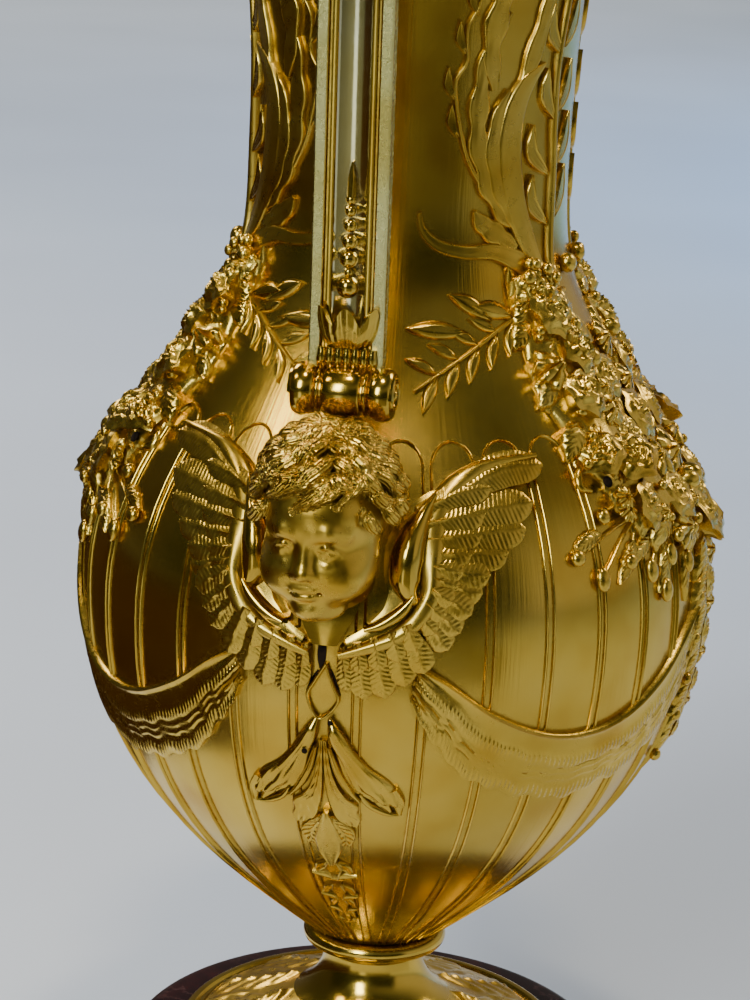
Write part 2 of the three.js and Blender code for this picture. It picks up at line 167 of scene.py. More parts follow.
class Piece:
    """Collects grids of points into one mesh object."""

    def __init__(self):
        self.points, self.quads, self.mats, self.lines, self.count = [], [], [], [], 0

    def add(self, points, quads, mat=GROUND, lines=None):
        """Faces of a grid; lines holds a phase and a depth for fine tool lines at each point."""
        self.points.append(np.asarray(points, float).reshape(-1, 3))
        none = np.zeros((len(self.points[-1]), 2))
        self.lines.append(none if lines is None else np.asarray(lines, float).reshape(-1, 2))
        quads = np.asarray(quads, int) + self.count
        self.quads.append(quads)
        self.mats.append(np.full(len(quads), mat))
        self.count += len(self.points[-1])

    def grid(self, points, wrap=False, mat=GROUND, out=None, lines=None):
        """A grid of shape (rows, columns, 3); out is a direction its faces look towards."""
        n, m = points.shape[:2]
        i, j = np.meshgrid(np.arange(n - 1), np.arange(m if wrap else m - 1), indexing="ij")
        k = (j + 1) % m
        quads = np.stack([i * m + j, i * m + k, (i + 1) * m + k, (i + 1) * m + j], -1).reshape(-1, 4)
        if out is not None:
            a, b = points[n // 2, m // 2], points[n // 2, m // 2 - 1]
            c = points[n // 2 - 1, m // 2]
            if np.dot(np.cross(a - b, a - c), out) < 0:
                quads = quads[:, ::-1]
        self.add(points, quads, mat, lines)

    def turned(self, outline, columns, mat=GROUND):
        """A full turn about Z of an outline of (radius, z) points."""
        outline = np.asarray(outline, float)
        self.grid(round_axis(outline[:, :1], circle(columns), outline[:, 1:]), True, mat)

    def twin(self):
        """The same piece turned half round the vase axis."""
        other = Piece()
        other.quads, other.mats, other.count = list(self.quads), list(self.mats), self.count
        other.lines = list(self.lines)
        other.points = [p * np.array([-1, -1, 1]) for p in self.points]
        return other

    def join(self, other):
        """Takes in another piece's faces."""
        self.points += other.points
        self.lines += other.lines
        for q, m in zip(other.quads, other.mats):
            self.quads.append(q + self.count)
            self.mats.append(m)
        self.count += other.count

    def make(self, name, materials, slot, nodes=(), sharp=50):
        """The finished object, riding on the part and standing for the named solids."""
        points = (np.vstack(self.points) * MM).astype(np.float32)
        quads = np.vstack(self.quads).astype(np.int32)
        mesh = bpy.data.meshes.new(name)
        mesh.vertices.add(len(points))
        mesh.vertices.foreach_set("co", points.ravel())
        mesh.loops.add(quads.size)
        mesh.loops.foreach_set("vertex_index", quads.ravel())
        mesh.polygons.add(len(quads))
        mesh.polygons.foreach_set("loop_start", np.arange(0, quads.size, 4, dtype=np.int32))
        mesh.update(calc_edges=True)
        for material in materials:
            mesh.materials.append(material)
        mesh.polygons.foreach_set("material_index", np.concatenate(self.mats).astype(np.int32))
        mesh.polygons.foreach_set("use_smooth", np.ones(len(quads), bool))
        lines = np.vstack(self.lines).astype(np.float32)
        for k, label in enumerate(("line", "cut")):
            mesh.attributes.new(label, "FLOAT", "POINT").data.foreach_set(
                "value", np.ascontiguousarray(lines[:, k])
            )
        mesh.validate()
        mesh.set_sharp_from_angle(angle=math.radians(sharp))
        piece = bpy.data.objects.new(name, mesh)
        bpy.context.scene.collection.objects.link(piece)
        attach(piece, "root")
        if nodes:
            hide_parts(*nodes)
        return piece


def lay(piece, phi, z, h, mat, lines):
    """A grid of skin places and heights, walled down into the skin along its border."""
    phi, z = (np.pad(x, 1, mode="edge") for x in (phi, z))
    points = skin(phi, z, np.pad(h, 1, constant_values=SUNK))
    middle = points[points.shape[0] // 2, points.shape[1] // 2]
    if lines is not None:
        lines = np.stack(
            [np.pad(x + np.zeros((len(z) - 2, len(z[0]) - 2)), 1, mode="edge") for x in lines], -1
        )
    piece.grid(points, mat=mat, out=middle * np.array([1, 1, 0]), lines=lines)


def blade(piece, path, half, height, nt, nw, mat, side=1, lines=None):
    """A strip on the skin along (phi, z) points, half(t) wide each way and height(t, w) high."""
    c = spline(path, nt) * np.array([side, 1])
    t = np.linspace(0, 1, nt)
    w = np.linspace(-1, 1, nw)
    nr = lean(c[:, 1])
    u = np.gradient(c[:, 0]) * np.pi / 180 * radius(c[:, 1])
    v = np.gradient(c[:, 1]) / nr
    size = np.hypot(u, v)
    tu, tv = u / size, v / size
    off = half(t)[:, None] * w[None, :] * side
    z = c[:, 1][:, None] + tu[:, None] * off * nr[:, None]
    phi = c[:, 0][:, None] - np.degrees(tv[:, None] * off / radius(z))
    lines = lines and lines(t[:, None], w[None, :])
    lay(piece, phi, z, height(t[:, None], w[None, :]) + np.zeros_like(z), mat, lines)


def band(piece, lower, upper, height, nt, ns, mat, side, lines):
    """A sheet on the skin between two lines of (phi, z); s is 0 at the lower, 1 at the upper."""
    a, b = spline(lower, nt), spline(upper, nt)
    t, s = np.linspace(0, 1, nt)[:, None], np.linspace(0, 1, ns)[None, :]
    phi = (a[:, :1] + (b[:, :1] - a[:, :1]) * s) * side
    z = a[:, 1:] + (b[:, 1:] - a[:, 1:]) * s
    lay(piece, phi, z, height(t, s) + np.zeros_like(z), mat, lines(t, s))


def widths(*values):
    """A half-width law through evenly spaced values in millimetres."""
    return lambda t: np.interp(t, np.linspace(0, 1, len(values)), values)


def window(x, a, b, soft=0.012):
    """One between a and b and nought outside, with soft steps."""
    return (
        1 / (1 + np.exp(-np.clip((x - a) / soft, -40, 40))) / (1 + np.exp(np.clip((x - b) / soft, -40, 40)))
    )


def leaf3d(piece, path, normal, half, height, nt, nw, mat):
    """A free leaf along points in space, facing normal."""
    p = spline(path, nt)
    n = unit(np.asarray(normal, float))
    across = np.cross(np.gradient(p, axis=0), n)
    across /= np.linalg.norm(across, axis=1)[:, None]
    t, w = np.linspace(0, 1, nt)[:, None], np.linspace(-1, 1, nw)[None, :]
    h = np.pad(height(t, w) + np.zeros((nt, nw)), 1, constant_values=2 * SUNK)
    side = np.pad(half(t) * w, 1, mode="edge")
    p, across = np.pad(p, ((1, 1), (0, 0)), mode="edge"), np.pad(across, ((1, 1), (0, 0)), mode="edge")
    piece.grid(p[:, None] + across[:, None] * side[..., None] + n * h[..., None], mat=mat, out=n)


def ball(piece, centre, size, mat, rows, columns, axes=None):
    """An ellipsoid; size is its three radii along axes."""
    pole = np.linspace(0.02, np.pi - 0.02, rows)[:, None]
    a = circle(columns)[None, :]
    p = np.stack(
        [np.sin(pole) * np.cos(a), np.sin(pole) * np.sin(a), np.cos(pole) + 0 * a], -1
    ) * np.asarray(size, float)
    if axes is not None:
        p = p @ np.asarray(axes)
    piece.grid((p + np.asarray(centre, float))[::-1], True, mat)


def pea(piece, phi, z, lift, size, mat, rows, columns):
    """An ellipsoid on the skin; size is its radii round, up and out."""
    place, *axes = local_frame(phi, z, lift)
    ball(piece, place, size, mat, rows, columns, axes)


def bump(x, centre, spread):
    return np.exp(-(((x - centre) / spread) ** 2))


def arched(low, tall):
    """Height law of a gently crowned strip."""
    return lambda t, w: low + tall * (1 - w * w)


def half_round(low, tall):
    """Height law of a rounded strip."""
    return lambda t, w: low + tall * np.sqrt(np.clip(1 - w * w, 0, 1))


def tapered(full):
    """Half-width law of a feather: narrow root, full middle, rounded tip."""
    tip, root = 0.72, 0.45
    return lambda t: full * (root + (1 - root) * np.minimum(1, t / 0.6)) * np.sqrt(
        np.clip(1 - np.clip((t - tip) / (1 - tip), 0, 0.985) ** 2, 0, 1)
    )


def pointed(full, at, power):
    """Half-width law of a leaf that is fullest at a share of its length."""
    k = math.log(0.5) / math.log(at)
    return lambda t: full * np.sin(np.pi * np.clip(t, 0.012, 0.985) ** k) ** power


def lobed(full, lobes, deep, at):
    """Half-width law of an acanthus leaf with rounded lobes down each side."""
    base = pointed(full, at, 0.6)
    return lambda t: base(t) * (1 - deep + deep * np.abs(np.sin(np.pi * lobes * t ** 0.9)) ** 0.6)


# Materials


def new_material(name):
    material = bpy.data.materials.new(name)
    material.use_nodes = True
    tree = material.node_tree
    return material, tree, tree.nodes["Principled BSDF"]


def node(tree, kind, **values):
    """A shader node with its sockets and settings filled in."""
    made = tree.nodes.new("ShaderNode" + kind)
    for key, value in values.items():
        if key in made.inputs:
            made.inputs[key].default_value = value
        else:
            setattr(made, key, value)
    return made


def feed(tree, socket, value):
    """Links an output to a socket, or sets the socket's plain value."""
    if isinstance(value, bpy.types.NodeSocket):
        tree.links.new(value, socket)
    else:
        socket.default_value = value


def noise(tree, place, scale, **values):
    made = node(tree, "TexNoise", Scale=scale, **values)
    feed(tree, made.inputs["Vector"], place)
    return made.outputs["Fac"]


def maths(tree, operation, *values):
    made = node(tree, "Math", operation=operation)
    for socket, value in zip(made.inputs, values):
        feed(tree, socket, value)
    return made.outputs[0]


def mix(tree, share, first, second, blend="MIX"):
    made = node(tree, "MixRGB", blend_type=blend)
    for socket, value in zip(made.inputs, (share, first, second)):
        feed(tree, socket, value)
    return made.outputs[0]


def ramp(tree, source, stops):
    """A colour ramp through (place, colour) stops."""
    made = node(tree, "ValToRGB")
    elements = made.color_ramp.elements
    for end in (0, -1):
        elements[end].position, elements[end].color = stops[end]
    for place, colour in stops[1:-1]:
        elements.new(place).color = colour
    feed(tree, made.inputs[0], source)
    return made.outputs[0]


def grey(v):
    return (v, v, v, 1)


def on_object(tree):
    return node(tree, "TexCoord").outputs["Object"]


def hairlines(tree, place):
    """Places unrolled round the axis and squeezed in height, so noise draws upright hairlines."""
    split = node(tree, "SeparateXYZ")
    feed(tree, split.inputs[0], place)
    turn = maths(tree, "ARCTAN2", split.outputs[0], split.outputs[1])
    sheet = node(tree, "CombineXYZ")
    feed(tree, sheet.inputs[0], maths(tree, "MULTIPLY", turn, 0.075))
    feed(tree, sheet.inputs[1], maths(tree, "MULTIPLY", split.outputs[2], 0.03))
    return sheet.outputs[0]


def gilt(name, rough, spread, grain, depth, hollow_darkening, tone=(0.67, 0.45, 0.066), brushed=False):
    """Mercury gilding: gold that shifts in tone, with tool marks, and brown in the hollows that is partly
    dirt and partly painted shade from an occlusion mask.
    """
    material, tree, shader = new_material(name)
    place = on_object(tree)
    red, green, blue = tone
    deep = (red * 0.86, green * 0.78, blue * 0.6, 1)
    pale = (min(1, red * 1.06), green * 1.1, blue * 1.35, 1)
    cloud = noise(tree, place, 55.0, Detail=2.0, Roughness=0.5)
    colour = ramp(tree, cloud, [(0.3, deep), (0.5, (red, green, blue, 1)), (0.72, pale)])
    # Painted shade: ambient occlusion darkens hollows and creases to brown, spotted by noise; part of this
    # brown stands for real dirt
    hollow = node(tree, "AmbientOcclusion", Distance=0.0035, samples=6).outputs["AO"]
    hollow_shade = ramp(tree, hollow, [(0.0, grey(1)), (0.42, grey(0.75)), (0.8, grey(0))])
    speckle = noise(tree, place, 420.0, Detail=3.0)
    spots = ramp(tree, speckle, [(0.35, grey(0.35)), (0.6, grey(1))])
    shade_and_dirt = maths(tree, "MULTIPLY", maths(tree, "MULTIPLY", hollow_shade, spots), hollow_darkening)
    brown = (0.06, 0.026, 0.006, 1)
    feed(tree, shader.inputs["Base Color"], mix(tree, shade_and_dirt, colour, brown))
    shader.inputs["Metallic"].default_value = 1.0
    mottle = noise(tree, place, 380.0, Detail=5.0, Roughness=0.6)
    dull = ramp(tree, mottle, [(0.3, grey(rough - spread)), (0.72, grey(rough + spread))])
    feed(tree, shader.inputs["Roughness"], mix(tree, 0.35, dull, shade_and_dirt, "ADD"))
    sheet = hairlines(tree, place) if brushed else place
    relief = node(tree, "Bump", Strength=depth, Distance=0.0002)
    feed(tree, relief.inputs["Height"], noise(tree, sheet, grain, Detail=3.0, Roughness=0.6))
    phase = node(tree, "Attribute", attribute_name="line").outputs["Fac"]
    deepness = node(tree, "Attribute", attribute_name="cut").outputs["Fac"]
    wave = maths(tree, "SINE", maths(tree, "MULTIPLY", phase, 2 * math.pi))
    chasing = node(tree, "Bump", Strength=0.8, Distance=0.00025)
    feed(tree, chasing.inputs["Height"], maths(tree, "MULTIPLY", wave, deepness))
    feed(tree, chasing.inputs["Normal"], relief.outputs[0])
    feed(tree, shader.inputs["Normal"], chasing.outputs[0])
    return material


def cloudy(name, scale, detail, dark, light, rough, specular=0.5):
    """A plain two-tone material for the hole fill (painted shade and dirt), floor and cards."""
    material, tree, shader = new_material(name)
    cloud = noise(tree, on_object(tree), scale, Detail=detail)
    tint = ramp(tree, cloud, [(0.3, dark + (1,)), (0.7, light + (1,))])
    feed(tree, shader.inputs["Base Color"], tint)
    shader.inputs["Roughness"].default_value = rough
    shader.inputs["Specular IOR Level"].default_value = specular
    return material


def marble():
    """Dark red marble with pale veins and a soft polish."""
    material, tree, shader = new_material("red_marble")
    place = on_object(tree)
    cloud = noise(tree, place, 28.0, Detail=8.0, Roughness=0.62, Distortion=1.2)
    dark, middle, light = (0.003, 0.0012, 0.0016, 1), (0.014, 0.0022, 0.003, 1), (0.05, 0.007, 0.007, 1)
    body = ramp(tree, cloud, [(0.28, dark), (0.5, middle), (0.75, light)])
    cracks = node(tree, "TexVoronoi", feature="DISTANCE_TO_EDGE", Scale=34.0)
    feed(tree, cracks.inputs["Vector"], mix(tree, 0.06, place, cloud.node.outputs["Color"]))
    vein = ramp(tree, cracks.outputs["Distance"], [(0.0, grey(0.3)), (0.02, grey(0.0))])
    feed(tree, shader.inputs["Base Color"], mix(tree, vein, body, (0.16, 0.07, 0.06, 1)))
    polish = ramp(tree, cloud, [(0.3, grey(0.1)), (0.7, grey(0.17))])
    feed(tree, shader.inputs["Roughness"], polish)
    shader.inputs["Specular IOR Level"].default_value = 0.3
    return material


SATIN = gilt("gilt_satin", 0.235, 0.014, 900.0, 0.26, 0.55, brushed=True)
BRIGHT = gilt("gilt_burnished", 0.17, 0.04, 500.0, 0.05, 0.5)
CHASED = gilt("gilt_chased", 0.24, 0.06, 1300.0, 0.14, 0.6)
BRUSHED = gilt("gilt_brushed", 0.26, 0.08, 2600.0, 0.45, 0.6, tone=(0.82, 0.75, 0.27))
SOFT = gilt("gilt_soft", 0.3, 0.05, 1500.0, 0.08, 0.6)
PALE = gilt("gilt_pale", 0.15, 0.04, 700.0, 0.06, 0.5, tone=(0.84, 0.78, 0.42))
FLOWER = gilt("gilt_flowers", 0.26, 0.06, 1300.0, 0.14, 0.38, tone=(0.72, 0.49, 0.075))
# Near-black fill for holes and slots: painted shade of their depth, together with the black dirt packed in
# them
HOLE_SHADE_AND_DIRT = cloudy("hole_shade_and_dirt", 600.0, 4.0, (0.004, 0.003, 0.003), (0.02, 0.012, 0.006), 0.9, 0.08)
MARBLE = marble()
GOLD = [SATIN, BRIGHT, CHASED, BRUSHED]

# Plinth, turned, with a rounded upper edge and a small round at the foot


def plinth():
    piece = Piece()
    r, h = PLINTH_RADIUS, PLINTH_HEIGHT
    top_round, foot_round = 4, 1.2
    a = np.linspace(0, np.pi / 2, 14)
    upper = np.stack([r - top_round + top_round * np.cos(a), h - top_round + top_round * np.sin(a)], -1)
    b = np.linspace(-np.pi / 2, 0, 8)
    lower = np.stack([r - foot_round + foot_round * np.cos(b), foot_round + foot_round * np.sin(b)], -1)
    wall = [(r, z) for z in np.linspace(4, h - 6, 6)]
    flat = [(s, h) for s in np.linspace(r - 8, 2, 12)]
    base = [(s, 0) for s in np.linspace(2, r - 4, 6)]
    piece.turned(np.vstack([base, lower, wall, upper, flat]), 160)
    return piece.make("plinth_marble", [MARBLE], "marble", ["marble_plinth"])


# Foot: moulded rim, a dome of low leaves, a slim stem and a collar


def foot():
    piece = Piece()
    low, r = FOOT_LOW, FOOT_RADIUS
    rim = [(2, low), (30, low), (r - 0.6, low), (r, low + 0.6)]
    a = np.linspace(-0.2, np.pi / 2, 8)
    rim += [(r - 1.4 + 1.4 * math.cos(x), low + 2.6 + 1.4 * math.sin(x)) for x in a]
    rim += [
        (r - 2.4, low + 3.9), (r - 3.0, low + 3.2), (r - 4.0, low + 3.1), (r - 4.8, low + 3.6),
        (r - 5.6, low + 4.6)
    ]
    piece.turned(rim, 160, EDGE)
    flare = bezier([rim[-1], (30, low + 10), (STEM_RADIUS, low + 14), (STEM_RADIUS, COLLAR_LOW)], 64)
    leaves, leaf_length = 12, 27.0
    phi = circle(24 * leaves)
    q = np.clip(lengths(flare) / leaf_length, 0, 1)[:, None]
    turn = tangents(flare)
    x = (phi[None, :] * leaves / (2 * np.pi)) % 1.0 - 0.5
    lobes = 0.82 + 0.18 * np.abs(np.sin(np.pi * 4.5 * q))
    half = 0.46 * np.sin(np.pi * np.clip(0.16 + 0.84 * q, 0, 1)) ** 0.7 * lobes + 1e-3
    w = np.abs(x) / half
    leaf = np.clip(1 - w**2.2, 0, 1) ** 0.7
    rib = bump(x, 0, 0.035)
    vein = np.cos(2 * np.pi * (5.5 * q + 3.2 * np.abs(x)))
    between = np.abs(x) - 0.5
    husk = bump(between, 0, 0.1) * np.clip(np.sin(np.pi * np.clip((q - 0.05) / 0.55, 0, 1)), 0, 1)
    fade = np.clip((1 - q) / 0.12, 0, 1) * np.clip(q / 0.06, 0, 1)
    h = fade * (1.1 * leaf * (0.82 + 0.18 * vein) + 0.4 * rib * leaf + 0.8 * husk)
    grid = round_axis(flare[:, :1] + h * turn[:, 1:], phi, flare[:, 1:] - h * turn[:, :1])
    split = int(np.argmax(q[:, 0] >= 1))
    piece.grid(grid[: split + 1], True, WORK)
    piece.grid(grid[split:], True, EDGE)
    top = COLLAR_TOP
    b = np.linspace(-np.pi / 2 + 0.3, np.pi / 2, 14)
    ring = [
        (STEM_RADIUS, COLLAR_LOW), (13.3, top - 6.6), (14.2, top - 6.2), (14.6, top - 5.6),
        (15.4, top - 5.2)
    ]
    ring += [(16.7 + 2.5 * math.cos(x), top - 2.6 + 2.4 * math.sin(x)) for x in b]
    ring += [(15, top), (2, top)]
    piece.turned(ring, 128, EDGE)
    return piece.make("foot_gilt", [SATIN, BRIGHT, SOFT], "gilt", ["foot"], 40)


# Vase: turned body, moulded lip and hollow, with arched panel borders down the body


def panel_borders(piece):
    """Two upright ribs and an arch round each panel."""
    pitch = 360 / RIBS
    arch = 6
    spring = FLUTE_HEAD - arch
    for k in range(RIBS):
        mid = k * pitch
        rise = np.linspace(68, spring, 30)
        gap = np.minimum(1.0, 0.055 * radius(rise))
        width = pitch / 2 - np.degrees(gap / radius(rise))
        turn = np.linspace(np.pi, 0, 24)
        top = np.stack(
            [mid + width[-1] * np.cos(turn), spring + arch * lean(spring) / 0.86 * np.sin(turn)], -1
        )
        left = np.stack([mid - width, rise], -1)
        right = np.stack([mid + width[::-1], rise[::-1]], -1)
        for path in (left, top, right):
            narrow = 0.42 * np.clip(radius(spline(path, 26)[:, 1]) / 60, 0.35, 1)
            blade(piece, path, lambda t: narrow, lambda t, w: 0.78 * (1 - w * w) ** 0.7 - 0.1, 26, 5, EDGE)


def vase():
    piece = Piece()
    step = lengths(PROFILE)
    want = np.linspace(0, step[-1], 96)
    outer = np.stack([np.interp(want, step, PR), np.interp(want, step, PZ)], -1)
    base = [(2, BODY_BOTTOM), (10, BODY_BOTTOM)]
    piece.turned(np.vstack([base, outer]), 224)
    a = np.linspace(-np.pi / 2, np.pi / 2, 16)
    z = LIP_Z
    lip = [LIP, (50.4, z + 0.1), (50.8, z + 0.9), (50.8, z + 1.8), (51.6, z + 2.6)]
    lip += [(52.2 + 2.8 * math.cos(x), z + 6.4 + 3.4 * math.sin(x)) for x in a]
    lip += [
        (51.9, z + 10.3), (52.2, z + 11.2), (51.6, z + 11.9), (50.2, z + 12), (48.9, z + 11.6),
        (48.4, z + 10.4), (48.2, z + 6)
    ]
    piece.turned(lip, 192, EDGE)
    bottom = BODY_BOTTOM + 4
    back = want[::-3]
    inside = np.stack([np.interp(back, step, PR - WALL * NR), np.interp(back, step, PZ - WALL * NZ)], -1)
    inside = inside[inside[:, 1] > bottom]
    piece.turned(np.vstack([lip[-1:], inside, [(10, bottom), (2, bottom)]]), 128)
    panel_borders(piece)
    return piece.make("vase_gilt", GOLD, "gilt", ["vase"])


# Cloth swags with lace borders


def swag(piece, side):
    upper = [(15.5, 167), (21.5, 161.5), (29, 153.8), (39.2, 147.2), (49, 145.2)]
    lower = [(14.6, 157), (18.5, 147.5), (25, 137.2), (35, 130.6), (49, 127.2)]
    middle = 49
    for edge in (upper, lower):
        edge += [(2 * middle - p, z) for p, z in edge[-2::-1]]
    line = spline(lower, 75)
    k = np.arange(75)
    line[:, 1] += 0.55 * np.sin(k * 1.35) + 0.3 * np.sin(k * 0.61 + 1)

    def drift(t, s):
        return s + (0.035 * np.sin(31 * t) + 0.02 * np.sin(71 * t + 1)) * (1 - s)

    def height(t, s):
        x = drift(t, s)
        lace = window(x, 0.03, 0.185) + window(x, 0.53, 0.66)
        folds = window(x, 0.2, 0.53) * (
            0.17 * np.cos(2 * np.pi * x / 0.105) + 0.1 * np.cos(2 * np.pi * x / 0.061 + 9 * t)
        )
        ends = (2 * t - 1) ** 8
        pleats = 0.7 * ends * np.cos(2 * np.pi * 4.2 * s)
        lip = 0.75 * bump(s, 0.965, 0.028)
        return 1.2 + 0.25 * lace + folds + pleats + lip - 0.3 * window(x, 0.7, 0.92, 0.03)

    def lines(t, s):
        x = drift(t, s)
        return 86 * t + 0.9 * s + 0.25 * np.sin(23 * t), 0.55 * (
            window(x, 0.04, 0.175) + window(x, 0.54, 0.65)
        )

    band(piece, line, upper, height, 210, 28, WORK, side, lines)


def swags():
    piece = Piece()
    for side in (-1, 1):
        swag(piece, side)
    piece.join(piece.twin())
    return piece.make("swags_gilt", GOLD, "gilt", sharp=60)


# Winged cherub heads


def feather(piece, root, tip, width, lift, side, bow, nt=26, nw=13):
    length = math.hypot((tip[0] - root[0]) * 1.35, tip[1] - root[1])

    def height(t, w):
        shaft = 0.45 * bump(w, 0, 0.12) * (1 - 0.7 * t)
        wave = 0.07 * np.cos(2 * np.pi * (t * length / 5.2 - 0.9 * np.abs(w)) + 2 * np.sin(7 * w))
        return lift * (1 - 0.3 * t) + 0.6 * (1 - w * w) + shaft + wave

    def lines(t, w):
        return t * length / 1.2 - 1.3 * np.abs(w) + 0.1 * np.sin(4 * w + 7 * t), 0.17 * window(
            np.abs(w), 0.14, 0.97, 0.04
        )

    blade(piece, bowed(root, tip, bow * 0.4, bow), tapered(width), height, nt, nw, EXTRA, side, lines)


def wing(piece, side):
    plate = [(22, 205), (17, 199), (14.5, 191), (14.5, 183), (12.5, 176.5), (8.5, 172), (4, 169.5)]
    blade(piece, plate, widths(2, 5, 7, 7, 5.5, 4.5, 2.5), arched(2.2, 0.6), 40, 9, EDGE, side)
    quills = [
        ((17.5, 200.5), (41, 208.6), 4.4, 4.4, 3.2),
        ((18.2, 197.5), (37, 201.2), 4.4, 4.0, 0.8),
        ((18.4, 194.3), (34.8, 196), 4.2, 3.6, 0.3),
        ((18.4, 191.2), (31, 191.3), 4.0, 3.2, 0.0),
        ((18.5, 188.5), (27.4, 186.8), 3.6, 3.6, -0.2),
        ((18.5, 186), (26, 182.8), 3.4, 3.2, -0.3),
        ((18, 183.3), (24, 178.3), 3.3, 3.8, 0.2),
        ((17, 180.3), (22.2, 174.2), 3.2, 3.4, 0.2),
        ((15.8, 177.6), (20.4, 170.2), 3.2, 3.0, 0.3),
        ((13.6, 175), (16.6, 164.8), 3.2, 3.8, 0.4),
        ((11.2, 173), (13.6, 161.4), 3.2, 3.4, 0.3),
        ((8.4, 171.2), (10.4, 158.2), 3.1, 3.1, 0.2),
        ((5.6, 170), (7, 157.6), 2.9, 2.8, 0.1),
        ((3.2, 169), (4, 159), 2.2, 2.4, 0.0),
    ]
    for root, tip, width, lift, bow in reversed(quills):
        feather(piece, root, tip, width, lift, side, bow)
    for root, tip, width, lift, bow in quills:
        back, short = part_way(root, tip, -0.12), part_way(root, tip, 0.48)
        feather(piece, back, short, width * 0.72, lift + 1.0, side, bow * 0.4, 16, 11)
    arm = [
        (40, 210.6), (33, 210), (26, 208), (20.5, 203.5), (17.8, 197), (17.3, 190), (17.2, 183),
        (15, 177.2), (11.5, 173), (7, 170.2), (2.6, 168)
    ]
    half = widths(0.7, 1.2, 2.0, 2.8, 3.2, 3.0, 2.7, 2.4, 2.1, 1.7, 1.0)

    def height(t, w):
        return (
            3.3 + (0.6 + 0.45 * half(t)) * np.clip(1 - w * w, 0, 1) ** 0.7
            + 0.12 * np.sin(26 * t + 2.5 * w) * np.sin(3 * w)
        )

    blade(piece, arm, half, height, 110, 11, EXTRA, side)
    joint = [(18.5, 204), (15.6, 199), (13.6, 193.5), (12.8, 188), (13.2, 183.5), (14.6, 180.6)]

    def crest(t, w):
        return half_round(2.4, 2.2 + 4.6 * np.sin(np.pi * t) ** 0.8)(t, w)

    blade(piece, joint, widths(0.6, 2.0, 3.3, 4.0, 3.6, 1.2), crest, 40, 17, EDGE, side)
    rim = [(14.2, 182.4), (12.8, 179.8), (11, 177.6), (8.8, 175.8), (6.6, 174.8)]
    blade(piece, rim, widths(0.6, 1.2, 1.3, 1.1, 0.6), half_round(5.2, 1.2), 36, 9, EDGE, side)


def capsule(points, a, b, ra, rb):
    """Distance from a rod with rounded ends of radius ra and rb."""
    ab = b - a
    t = np.clip(((points - a) @ ab) / max(1e-9, ab @ ab), 0, 1)
    return np.linalg.norm(points - a - t[..., None] * ab, axis=-1) - (ra + (rb - ra) * t)


def ellipsoid(points, centre, size):
    """Rough distance from an ellipsoid of the given radii."""
    p = (points - np.asarray(centre, float)) / np.asarray(size, float)
    k = np.linalg.norm(p, axis=-1)
    g = np.linalg.norm(p / np.asarray(size, float), axis=-1)
    return k * (k - 1) / np.maximum(g, 1e-6)


